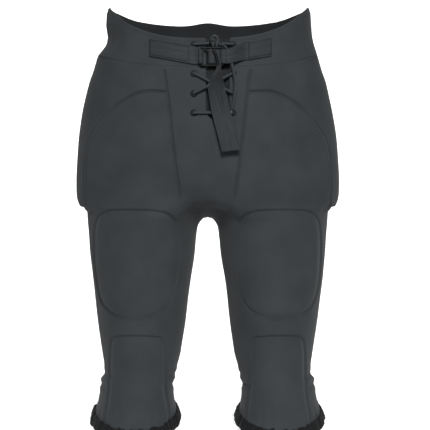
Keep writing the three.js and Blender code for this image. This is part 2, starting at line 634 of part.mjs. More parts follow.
// The second strap turns round the centre bar, and passes over the end bar on its way to the waistband.
const wrapBack = buckleY - BAR_RADIUS - BAR_PLAY;
const WRAP_END = BUCKLE.right + 4;
const wrap = webbing([[BUCKLE.middle, foldHeight[1], foldHeight[0], wrapBack],
  [WRAP_END, foldHeight[1], foldHeight[0], wrapBack]]);
piece('belt_wrap', wrap.add(fold(BUCKLE.middle)).subtract(barHole(BUCKLE.middle)), WEBBING_LOOK);
const SEWN_START = 62;
const sewnTop = -38;
piece('belt_span_left', webbing([
  [WRAP_END + SEAM_GAP, foldHeight[1], foldHeight[0], wrapBack],
  [40, -48, -73, mix(wrapBack, onBand(40, -48, -73), 0.1)],
  [52, -42, -42 - BELT_WIDTH, onBand(52, -42, -42 - BELT_WIDTH) - 3],
  [SEWN_START - SEAM_GAP, sewnTop, sewnTop - BELT_WIDTH, onBand(SEWN_START, sewnTop, sewnTop - BELT_WIDTH)],
]), WEBBING_LOOK);
piece('belt_strap_left', webbing(bandStations([SEWN_START, sewnTop], [96, -31], 6)), WEBBING_LOOK);

// Hanging end: narrow and turned where it leaves the buckle, full width lower down.
const TAIL_TOP = -52;
const tailBack = wrapBack - WEBBING - 0.6;
const TAIL = [
  { x: 12.5, z: TAIL_TOP, half: 5, y: tailBack },
  { x: 18, z: -80, half: 5, y: tailBack - 5 },
  { x: 17.5, z: -97, half: 10, y: tailBack - 8 },
  { x: 16.5, z: -118, half: 13.5, y: tailBack - 10 },
  { x: 24, z: -152, half: 14, y: tailBack - 12 },
  { x: 36, z: -202, half: 14, y: tailBack - 13 },
];
piece('belt_tail', loft(TAIL.map(({ x, z, half, y }) => [
  new THREE.Vector3(x - half, y, z), new THREE.Vector3(x + half, y, z + half * 0.2),
  new THREE.Vector3(x + half, y - WEBBING, z + half * 0.2), new THREE.Vector3(x - half, y - WEBBING, z),
])), WEBBING_LOOK);

// ---- Free ends of the lace ----------------------------------------------------------------------
const TIP_LENGTH = 14;
// Nearest that the lace's middle comes to the outer surface, over the tongue that lies deeper.
const TONGUE_ROOM = LACE_RADIUS - KNIT - ELASTIC;
const LACE_ROOM = BAR_RADIUS + LACE_RADIUS + 0.7;
const barBack = buckleY + BAR_RADIUS;
const route = (points) => points.map(([x, y, z]) => new THREE.Vector3(x, y, z));

// It leaves the knot, goes round the buckle's upper corner under the belt, and hangs behind the belt's end.
const leftEnd = route([[18.6, barBack - 0.6, BUCKLE.top + LACE_ROOM + 1],
  [BUCKLE.right - 1, barBack + 0.4, BUCKLE.top + LACE_ROOM],
  [BUCKLE.right + LACE_ROOM, barBack + 1, BUCKLE.top - 0.5], [31.5, buckleY + 2.4, -56],
  [33.5, buckleY + 1.6, -62], [35, buckleY + 1, -68], [36.4, buckleY - 0.2, -75], [38.3, buckleY - 2.8, -83],
  [40, buckleY - 5.4, -91], [41.2, buckleY - 7.6, -100], [41, buckleY - 9.8, -111],
  [39.8, buckleY - 10.8, -122], [38, buckleY - 11.6, -132], [36, buckleY - 12.4, -142]]);

// The other end drops straight from under the knot, behind the buckle.
const overTongue = (x, offKnot, z) => [x, Math.min(KNOT.y - offKnot, frontY(x, z) - TONGUE_ROOM), z];
const rightEnd = route([overTongue(13, 0.4, -46.6), overTongue(13.6, 0.4, -52), overTongue(14.4, 0.4, -58),
  overTongue(15.2, 0.8, -66), overTongue(15.8, 1.6, -76), overTongue(16.2, 2.6, -86),
  overTongue(16.6, 3.6, -96), overTongue(17, 4.6, -106), overTongue(17.2, 5.6, -117),
  overTongue(17.2, 6.4, -128)]);
for (const [end, points] of [['left', leftEnd], ['right', rightEnd]]) {
  piece(`lace_tail_${end}`, cord(points, LACE_RADIUS), LACE_LOOK);
  const [before, last] = points.slice(-2);
  const along = new THREE.Vector3().subVectors(last, before).normalize();
  const tip = [last.clone().addScaledVector(along, REST_GAP), last.clone().addScaledVector(along, TIP_LENGTH)];
  piece(`lace_aglet_${end}`, cord(tip, LACE_RADIUS + 0.1), METAL_LOOK);
}

export default pants;
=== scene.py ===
"""Looks of the padded sports pants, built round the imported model.

The knit shell is one smooth surface, cut along its seams into panels. Foam pads, pockets, elastics, the
laced fly, the webbing belt with its buckle and the overlocked hems are built on the same surface.
Lengths are in millimetres in the dataclasses and in metres in every mesh. +X is the wearer's left and
-Y the front.
"""
from __future__ import annotations

import logging
import math
from dataclasses import dataclass, field
from enum import Enum

import bpy
import numpy as np
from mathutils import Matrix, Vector

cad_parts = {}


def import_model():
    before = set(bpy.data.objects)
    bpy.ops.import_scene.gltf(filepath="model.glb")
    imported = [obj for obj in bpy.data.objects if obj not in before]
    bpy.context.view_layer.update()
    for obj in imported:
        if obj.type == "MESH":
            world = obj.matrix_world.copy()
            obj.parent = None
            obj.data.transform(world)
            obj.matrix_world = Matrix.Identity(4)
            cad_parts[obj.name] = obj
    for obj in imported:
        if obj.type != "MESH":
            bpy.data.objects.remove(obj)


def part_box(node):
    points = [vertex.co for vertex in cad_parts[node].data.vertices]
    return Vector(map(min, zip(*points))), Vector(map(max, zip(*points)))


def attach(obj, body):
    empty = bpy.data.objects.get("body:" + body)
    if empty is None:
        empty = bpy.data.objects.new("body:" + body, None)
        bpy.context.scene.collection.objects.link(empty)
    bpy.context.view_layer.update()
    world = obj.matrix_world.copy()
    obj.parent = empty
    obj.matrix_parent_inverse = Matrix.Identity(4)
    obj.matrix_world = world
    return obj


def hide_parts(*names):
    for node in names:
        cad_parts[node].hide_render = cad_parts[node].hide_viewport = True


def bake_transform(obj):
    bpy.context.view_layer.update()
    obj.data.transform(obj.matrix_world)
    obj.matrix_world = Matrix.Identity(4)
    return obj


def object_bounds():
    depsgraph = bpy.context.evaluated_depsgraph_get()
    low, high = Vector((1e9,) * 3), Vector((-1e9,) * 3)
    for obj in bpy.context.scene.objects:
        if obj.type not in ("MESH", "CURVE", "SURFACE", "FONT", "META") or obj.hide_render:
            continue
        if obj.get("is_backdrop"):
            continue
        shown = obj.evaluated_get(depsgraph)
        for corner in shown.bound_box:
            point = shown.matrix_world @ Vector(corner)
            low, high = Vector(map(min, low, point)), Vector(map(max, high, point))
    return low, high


MM = 0.001
LOG = logging.getLogger("pants")

Array = np.ndarray
Outline = tuple[tuple[float, float], ...]


# ---- Small helpers ------------------------------------------------------------------------------------
def srgb(code: str) -> tuple[float, float, float, float]:
    """Linear colour of an sRGB hex value."""
    parts = [int(code[i : i + 2], 16) / 255 for i in (1, 3, 5)]
    linear = [p / 12.92 if p <= 0.04045 else ((p + 0.055) / 1.055) ** 2.4 for p in parts]
    return (*linear, 1.0)


def smoothstep(t: Array | float) -> Array:
    """Smooth rise from 0 to 1."""
    t = np.clip(t, 0.0, 1.0)
    return t * t * (3 - 2 * t)


def add(
    tree: bpy.types.NodeTree, kind: str, settings: dict | None = None, **inputs: object
) -> bpy.types.Node:
    """Adds a node with its settings and its inputs.

    Args:
        tree: the node tree.
        kind: the node's type name.
        settings: properties of the node.
        inputs: values or sockets by input name, with _ for a space; i0, i1 and so on go by place.

    Returns:
        The node.
    """
    made = tree.nodes.new(kind)
    for key, value in (settings or {}).items():
        setattr(made, key, value)
    for key, value in inputs.items():
        by_place = key[0] == "i" and key[1:].isdigit()
        socket = made.inputs[int(key[1:]) if by_place else key.replace("_", " ")]
        if isinstance(value, bpy.types.NodeSocket):
            tree.links.new(value, socket)
        else:
            socket.default_value = value
    return made


def through(heights: Array, values: Array, at: Array) -> Array:
    """Smooth values between the rows of a table, with no overshoot.

    Args:
        heights: the rows' heights, falling.
        values: one value for each row.
        at: heights to read.

    Returns:
        The values at those heights.
    """
    h, v = np.asarray(heights, float)[::-1], np.asarray(values, float)[::-1]
    step = np.diff(h)
    slope = np.diff(v) / step
    lean = np.zeros(len(h))
    same = slope[:-1] * slope[1:] > 0
    lean[1:-1][same] = 2 * slope[:-1][same] * slope[1:][same] / (slope[:-1] + slope[1:])[same]
    lean[0], lean[-1] = slope[0], slope[-1]
    at = np.clip(at, h[0], h[-1])
    i = np.clip(np.searchsorted(h, at) - 1, 0, len(step) - 1)
    t = (at - h[i]) / step[i]
    rise = t * t * (3 - 2 * t)
    return (
        v[i] * (1 - rise)
        + v[i + 1] * rise
        + step[i] * (lean[i] * t * (1 - t) ** 2 - lean[i + 1] * t * t * (1 - t))
    )


def spline(points: Array, count: int, closed: bool = False) -> Array:
    """Evenly spaced points on a smooth curve through a few points.

    Args:
        points: control points of any dimension.
        count: how many points to return.
        closed: whether the curve comes back to its start.

    Returns:
        The points; a closed curve's last one isn't its first.
    """
    p = np.asarray(points, float)
    p = np.vstack([p[-1], p, p[:2]]) if closed else np.vstack([2 * p[0] - p[1], p, 2 * p[-1] - p[-2]])
    t = np.linspace(0, 1, 24, endpoint=False)[:, None]
    runs = []
    for a, b, c, d in zip(p[:-3], p[1:-2], p[2:-1], p[3:]):
        runs.append(
            0.5 * (2 * b + (c - a) * t + (2 * a - 5 * b + 4 * c - d) * t**2 + (3 * b - a - 3 * c + d) * t**3)
        )
    fine = np.vstack([*runs, p[-2][None]])
    along = np.concatenate([[0], np.cumsum(np.linalg.norm(np.diff(fine, axis=0), axis=1))])
    wanted = np.linspace(0, along[-1], count, endpoint=not closed)
    return np.stack([np.interp(wanted, along, fine[:, k]) for k in range(fine.shape[1])], axis=1)


def line_distance(places: Array, line: Array, closed: bool = False) -> Array:
    """Distance of places to a line in the plane."""
    best = np.full(len(places), np.inf)
    ends = np.vstack([line, line[:1]]) if closed else line
    for a, b in zip(ends[:-1], ends[1:]):
        run = b - a
        t = np.clip(((places - a) @ run) / max(run @ run, 1e-12), 0, 1)
        best = np.minimum(best, np.linalg.norm(places - a - t[:, None] * run, axis=1))
    return best


def signed_distance(places: Array, outline: Array) -> Array:
    """Distance of places to an outline in the plane, negative inside it."""
    x, z = places.T
    inside = np.zeros(len(places), bool)
    for (x0, z0), (x1, z1) in zip(outline, np.roll(outline, -1, axis=0)):
        if z0 != z1:
            inside ^= ((z0 > z) != (z1 > z)) & (x < (x1 - x0) * (z - z0) / (z1 - z0) + x0)
    return np.where(inside, -1.0, 1.0) * line_distance(places, outline, True)


def normals_of(points: Array, faces: Array) -> Array:
    """Unit normals at the points of a triangle surface."""
    a, b, c = (points[faces[:, k]] for k in range(3))
    face = np.cross(b - a, c - a)
    total = np.zeros_like(points)
    for k in range(3):
        np.add.at(total, faces[:, k], face)
    return total / np.maximum(np.linalg.norm(total, axis=1), 1e-12)[:, None]


def make_object(name: str, points: Array, faces: Array, uv: Array | None = None) -> bpy.types.Object:
    """A smooth mesh object at the origin.

    Args:
        name: the piece's name.
        points: places in metres.
        faces: rows of three or four indices.
        uv: cloth coordinates in metres, one for each point.

    Returns:
        The object, linked to the scene.
    """
    mesh = bpy.data.meshes.new(name)
    corners = faces.shape[1]
    mesh.vertices.add(len(points))
    mesh.vertices.foreach_set("co", np.asarray(points, np.float32).ravel())
    mesh.loops.add(faces.size)
    mesh.loops.foreach_set("vertex_index", np.asarray(faces, np.int32).ravel())
    mesh.polygons.add(len(faces))
    mesh.polygons.foreach_set("loop_start", np.arange(0, faces.size, corners, dtype=np.int32))
    mesh.update(calc_edges=True)
    mesh.polygons.foreach_set("use_smooth", np.ones(len(faces), bool))
    if uv is not None:
        layer = mesh.uv_layers.new(name="cloth")
        layer.data.foreach_set("uv", np.asarray(uv, np.float32)[faces.ravel()].ravel())
    mesh.validate()
    made = bpy.data.objects.new(name, mesh)
    bpy.context.scene.collection.objects.link(made)
    return made


def baked(piece: bpy.types.Object) -> bpy.types.Object:
    """Turns a piece's modifiers into a plain mesh, and removes them."""
    graph = bpy.context.evaluated_depsgraph_get()
    mesh = bpy.data.meshes.new_from_object(piece.evaluated_get(graph))
    piece.modifiers.clear()
    piece.data = mesh
    return piece


def joined(shapes: list[tuple[Array, Array, Array]]) -> tuple[Array, Array, Array]:
    """One set of points, faces and cloth coordinates from several."""
    points, faces, uvs, start = [], [], [], 0
    for place, face, uv in shapes:
        points.append(place)
        faces.append(face + start)
        uvs.append(uv)
        start += len(place)
    return np.vstack(points), np.vstack(faces), np.vstack(uvs)


def grid_faces(rows: int, columns: int, around: bool = False, flip: bool = False) -> Array:
    """Quads of a grid of rows and columns, closed round its columns where asked."""
    r, c = np.meshgrid(np.arange(rows - 1), np.arange(columns if around else columns - 1), indexing="ij")
    n = (c + 1) % columns
    quads = np.stack(
        [r * columns + c, (r + 1) * columns + c, (r + 1) * columns + n, r * columns + n], axis=-1
    )
    quads = quads.reshape(-1, 4)
    return quads[:, ::-1] if flip else quads


def capped(rows: int, columns: int, flip: bool = False) -> Array:
    """Quads of a closed tube of rings, with its two ends closed by strips of quads."""
    quads = [grid_faces(rows, columns, True, flip)]
    for first, turned in ((0, flip), ((rows - 1) * columns, not flip)):
        for k in range(columns // 2 - 1):
            quad = [first + k, first + k + 1, first + columns - 2 - k, first + columns - 1 - k]
            quads.append(np.array([quad[::-1] if turned else quad]))
    return np.vstack(quads)


def finish_piece(
    piece: bpy.types.Object,
    body: str,
    slot: str,
    material: bpy.types.Material | None,
    *nodes: str,
) -> bpy.types.Object:
    """Dresses a piece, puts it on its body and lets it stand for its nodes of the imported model."""
    if material is not None:
        piece.data.materials.clear()
        piece.data.materials.append(material)
    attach(piece, body)
    if nodes:
        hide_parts(*nodes)
    LOG.info("%s on %s stands for %s", piece.name, body, ", ".join(nodes) or "nothing")
    return piece


# ---- Finishes -----------------------------------------------------------------------------------------
def surface(name: str) -> tuple[bpy.types.Material, bpy.types.NodeTree]:
    """An empty node material."""
    material = bpy.data.materials.new(name)
    material.use_nodes = True
    material.node_tree.nodes.clear()
    return material, material.node_tree


def shader(tree: bpy.types.NodeTree, colour: object, bump: object, **values: object) -> None:
    """Adds the principled shader and the output to a finish."""
    principled = add(tree, "ShaderNodeBsdfPrincipled", Base_Color=colour, **values)
    if bump is not None:
        tree.links.new(bump, principled.inputs["Normal"])
    add(tree, "ShaderNodeOutputMaterial", Surface=principled.outputs["BSDF"])


def weighed(tree: bpy.types.NodeTree, value: object, weight: float, rest: object) -> bpy.types.Node:
    """A value times a weight, plus the rest."""
    return add(tree, "ShaderNodeMath", {"operation": "MULTIPLY_ADD"}, i0=value, i1=weight, i2=rest)


def between(tree: bpy.types.NodeTree, tone: object, shade: str, colour: str) -> bpy.types.Node:
    """The colours from the shade at tone 0 to the full colour at tone 1."""
    return add(tree, "ShaderNodeMix", {"data_type": "RGBA"}, i0=tone, i6=srgb(shade), i7=srgb(colour))


def wave_scale(pitch_mm: float) -> float:
    """Scale of a wave texture whose bands lie this far apart, on coordinates in metres."""
    return 2 * math.pi / (20 * pitch_mm * MM)


@dataclass(frozen=True)
class KnitCloth:
    """Polyester and elastane warp knit: matte, with fine upright ribs and a little surface fuzz."""

    name: str
    colour: str
    shade: str
    rib_mm: float = 2.0  # the real ribs are 0.9 mm apart; drawn coarser, so that they just show
    rib_depth_mm: float = 0.10
    fuzz_mm: float = 0.35
    patch_mm: float = 42.0
    roughness: float = 0.88
    sheen: float = 0.05

    def material(self) -> bpy.types.Material:
        """Builds the finish."""
        material, tree = surface(self.name)
        cloth = add(tree, "ShaderNodeTexCoord").outputs["UV"]
        solid = add(tree, "ShaderNodeTexCoord").outputs["Object"]
        rib = add(
            tree, "ShaderNodeTexWave", {"bands_direction": "X"}, Vector=cloth, Scale=wave_scale(self.rib_mm)
        )
        course = add(
            tree, "ShaderNodeTexWave", {"bands_direction": "Y"}, Vector=cloth,
            Scale=wave_scale(self.rib_mm * 0.8)
        )
        fuzz = add(tree, "ShaderNodeTexNoise", Vector=solid, Scale=1 / (self.fuzz_mm * MM * 4), Detail=2.0)
        patch = add(tree, "ShaderNodeTexNoise", Vector=solid, Scale=1 / (self.patch_mm * MM), Detail=3.0)
        weave = add(tree, "ShaderNodeMath", {"operation": "MULTIPLY"}, i0=rib.outputs["Fac"], i1=0.7)
        weave = weighed(tree, course.outputs["Fac"], 0.3, weave.outputs[0])
        relief = weighed(tree, fuzz.outputs["Fac"], 0.6, weave.outputs[0])
        bump = add(
            tree, "ShaderNodeBump", Strength=0.55, Distance=self.rib_depth_mm * MM, Height=relief.outputs[0]
        )
        tone = weighed(tree, weave.outputs[0], 0.35, patch.outputs["Fac"])
        tone = add(tree, "ShaderNodeMapRange", Value=tone.outputs[0], From_Min=0.35, From_Max=1.0)
        colour = between(tree, tone.outputs[0], self.shade, self.colour)
        shader(
            tree, colour.outputs[2], bump.outputs["Normal"], Roughness=self.roughness, IOR=1.45,
            Sheen_Weight=self.sheen, Sheen_Roughness=0.5, Specular_IOR_Level=0.25,
        )
        return material


@dataclass(frozen=True)
class WovenWebbing:
    """Flat polyester webbing: a herringbone of thick warp threads with a slight satin sheen."""

    name: str
    colour: str
    shade: str
    thread_mm: float = 1.5  # the real warp threads are 0.7 mm wide; drawn coarser, so that they show
    relief_mm: float = 0.18
    roughness: float = 0.66

    def material(self) -> bpy.types.Material:
        """Builds the finish."""
        material, tree = surface(self.name)
        cloth = add(tree, "ShaderNodeTexCoord").outputs["UV"]
        parts = add(tree, "ShaderNodeSeparateXYZ", Vector=cloth)
        # The slant turns over from thread to thread, which makes the herringbone.
        zigzag = add(
            tree, "ShaderNodeMath", {"operation": "PINGPONG"}, i0=parts.outputs["Y"],
            i1=self.thread_mm * MM * 2
        )
        slanted = add(
            tree, "ShaderNodeMath", {"operation": "ADD"}, i0=parts.outputs["X"], i1=zigzag.outputs[0]
        )
        place = add(tree, "ShaderNodeCombineXYZ", X=slanted.outputs[0], Y=parts.outputs["Y"])
        twill = add(
            tree, "ShaderNodeTexWave", {"bands_direction": "X"}, Vector=place.outputs[0],
            Scale=wave_scale(self.thread_mm * 1.2),
        )
        warp = add(
            tree, "ShaderNodeTexWave", {"bands_direction": "Y"}, Vector=cloth,
            Scale=wave_scale(self.thread_mm)
        )
        fibre = add(tree, "ShaderNodeTexNoise", Vector=cloth, Scale=900.0, Detail=2.0)
        relief = weighed(tree, warp.outputs["Fac"], 0.8, twill.outputs["Fac"])
        relief = weighed(tree, fibre.outputs["Fac"], 0.4, relief.outputs[0])
        bump = add(
            tree, "ShaderNodeBump", Strength=0.7, Distance=self.relief_mm * MM, Height=relief.outputs[0]
        )
        drawn = add(tree, "ShaderNodeMapping", Vector=cloth, Scale=(0.5, 9.0, 1.0))
        streak = add(tree, "ShaderNodeTexNoise", Vector=drawn.outputs[0], Scale=62.0, Detail=3.0)
        tone = weighed(tree, relief.outputs[0], 0.35, streak.outputs["Fac"])
        tone = add(tree, "ShaderNodeMapRange", Value=tone.outputs[0], From_Min=0.6, From_Max=1.1)
        colour = between(tree, tone.outputs[0], self.shade, self.colour)
        shader(
            tree, colour.outputs[2], bump.outputs["Normal"], Roughness=self.roughness, IOR=1.5,
            Sheen_Weight=0.05, Sheen_Roughness=0.4, Specular_IOR_Level=0.22,
        )
        return material


@dataclass(frozen=True)
class Thread:
    """Twisted polyester thread or braid: fine slanting plies."""

    name: str
    colour: str
    shade: str
    ply_mm: float = 0.9
    roughness: float = 0.7

    def material(self) -> bpy.types.Material:
        """Builds the finish."""
        material, tree = surface(self.name)
        solid = add(tree, "ShaderNodeTexCoord").outputs["Object"]
        turned = add(tree, "ShaderNodeMapping", Vector=solid, Rotation=(0.6, 0.3, 0.7))
        ply = add(
            tree, "ShaderNodeTexWave", Vector=turned.outputs[0], Scale=wave_scale(self.ply_mm), Distortion=1.5
        )
        bump = add(tree, "ShaderNodeBump", Strength=0.5, Distance=0.08 * MM, Height=ply.outputs["Fac"])
        colour = between(tree, ply.outputs["Fac"], self.shade, self.colour)
        shader(
            tree, colour.outputs[2], bump.outputs["Normal"], Roughness=self.roughness, IOR=1.5,
            Sheen_Weight=0.05, Sheen_Roughness=0.4, Specular_IOR_Level=0.25,
        )
        return material


@dataclass(frozen=True)
class MeshLining:
    """Tricot mesh: small holes in a matte dark ground."""

    name: str
    colour: str
    shade: str
    hole_mm: float = 2.4

    def material(self) -> bpy.types.Material:
        """Builds the finish."""
        material, tree = surface(self.name)
        solid = add(tree, "ShaderNodeTexCoord").outputs["Object"]
        holes = add(
            tree, "ShaderNodeTexVoronoi", Vector=solid, Scale=1 / (self.hole_mm * MM), Randomness=0.15
        )
        depth = add(tree, "ShaderNodeMapRange", Value=holes.outputs["Distance"], From_Min=0.15, From_Max=0.5)
        bump = add(tree, "ShaderNodeBump", Strength=0.8, Distance=0.3 * MM, Height=depth.outputs[0])
        colour = between(tree, depth.outputs[0], self.shade, self.colour)
        shader(
            tree, colour.outputs[2], bump.outputs["Normal"], Roughness=0.9, IOR=1.45, Sheen_Weight=0.12,
            Specular_IOR_Level=0.2,
        )
        return material


@dataclass(frozen=True)
class ClosedCellFoam:
    """Closed-cell EVA foam, die cut: fine cells and a satin skin."""

    name: str
    colour: str
    shade: str
    cell_mm: float = 1.6

    def material(self) -> bpy.types.Material:
        """Builds the finish."""
        material, tree = surface(self.name)
        solid = add(tree, "ShaderNodeTexCoord").outputs["Object"]
        cells = add(tree, "ShaderNodeTexVoronoi", Vector=solid, Scale=1 / (self.cell_mm * MM))
        cloud = add(tree, "ShaderNodeTexNoise", Vector=solid, Scale=40.0, Detail=3.0)
        bump = add(tree, "ShaderNodeBump", Strength=0.4, Distance=0.12 * MM, Height=cells.outputs["Distance"])
        colour = between(tree, cloud.outputs["Fac"], self.shade, self.colour)
        shader(tree, colour.outputs[2], bump.outputs["Normal"], Roughness=0.62, IOR=1.5)
        return material


@dataclass(frozen=True)
class PaintedWire:
    """Steel wire and eyelets with a black baked finish: semi-gloss, rubbed a little lighter in places."""

    name: str
    colour: str
    rubbed: str

    def material(self) -> bpy.types.Material:
        """Builds the finish."""
        material, tree = surface(self.name)
        solid = add(tree, "ShaderNodeTexCoord").outputs["Object"]
        wear = add(tree, "ShaderNodeTexNoise", Vector=solid, Scale=350.0, Detail=4.0)
        worn = add(tree, "ShaderNodeMapRange", Value=wear.outputs["Fac"], From_Min=0.5, From_Max=0.75)
        rough = add(
            tree, "ShaderNodeMapRange", Value=wear.outputs["Fac"], To_Min=0.45, To_Max=0.65
        )
        bump = add(tree, "ShaderNodeBump", Strength=0.25, Distance=0.05 * MM, Height=wear.outputs["Fac"])
        colour = add(
            tree, "ShaderNodeMix", {"data_type": "RGBA"}, i0=worn.outputs[0], i6=srgb(self.colour),
            i7=srgb(self.rubbed),
        )
        shader(
            tree, colour.outputs[2], bump.outputs["Normal"], Roughness=rough.outputs[0], IOR=1.5,
            Specular_IOR_Level=0.15,
        )
        return material


@dataclass(frozen=True)
class ShrunkTip:
    """Moulded acetate tip on a lace: smooth, glossy and dark."""

    name: str
    colour: str
    shade: str

    def material(self) -> bpy.types.Material:
        """Builds the finish."""
        material, tree = surface(self.name)
        solid = add(tree, "ShaderNodeTexCoord").outputs["Object"]
        ring = add(tree, "ShaderNodeTexWave", {"bands_direction": "Z"}, Vector=solid, Scale=wave_scale(1.6))
        bump = add(tree, "ShaderNodeBump", Strength=0.3, Distance=0.05 * MM, Height=ring.outputs["Fac"])
        colour = between(tree, ring.outputs["Fac"], self.shade, self.colour)
        shader(tree, colour.outputs[2], bump.outputs["Normal"], Roughness=0.4, IOR=1.48, Coat_Weight=0.1)
        return material


@dataclass
class Finishes:
    """Every finish of the garment, built once."""

    knit: bpy.types.Material = field(init=False)
    band: bpy.types.Material = field(init=False)
    inside: bpy.types.Material = field(init=False)
    lining: bpy.types.Material = field(init=False)
    elastic: bpy.types.Material = field(init=False)
    foam: bpy.types.Material = field(init=False)
    webbing: bpy.types.Material = field(init=False)
    seam_thread: bpy.types.Material = field(init=False)
    belt_thread: bpy.types.Material = field(init=False)
    edge_thread: bpy.types.Material = field(init=False)
    binding: bpy.types.Material = field(init=False)
    lace: bpy.types.Material = field(init=False)
    metal: bpy.types.Material = field(init=False)
    tip: bpy.types.Material = field(init=False)

    def __post_init__(self) -> None:
        """Builds the materials."""
        self.knit = KnitCloth("warp_knit", "#2f3336", "#26292b").material()
        self.band = KnitCloth("double_knit_band", "#2f3336", "#26292b", rib_mm=1.8).material()
        # The inner face is the outer knit in a far darker colour: painted shade for the inside of the
        # garment.
        self.inside = KnitCloth("inner_knit_painted_shade", "#1c1f21", "#131516").material()
        self.lining = MeshLining("tricot_mesh", "#1b1e20", "#0c0e0f").material()
        self.elastic = WovenWebbing("ribbed_elastic", "#1e2123", "#101214", 1.8, roughness=0.8).material()
        self.foam = ClosedCellFoam("eva_foam", "#313537", "#25282a").material()
        self.webbing = WovenWebbing("belt_webbing", "#2a2e31", "#121416").material()
        self.seam_thread = Thread("seam_thread", "#202326", "#131517").material()
        self.belt_thread = Thread("belt_stitching", "#141617", "#090a0b").material()
        # The overlock loops are lighter than the rolled edge: partly the thread's own grey, partly painted
        # highlight.
        self.edge_thread = Thread("overlock_thread", "#212426", "#0a0c0d", 0.7).material()
        self.binding = Thread("overlocked_edge", "#0a0b0d", "#040506", 1.2, 0.9).material()
        self.lace = Thread("lace_braid", "#313538", "#1b1e20", 1.1).material()
        self.metal = PaintedWire("black_wire", "#060707", "#121415").material()
        self.tip = ShrunkTip("lace_tip", "#202427", "#141618").material()


# ---- The body's surface -------------------------------------------------------------------------------
class Half(Enum):
    """Which half of the garment a line lies on."""

    FRONT = "front"
    BACK = "back"
    BOTH = "both"


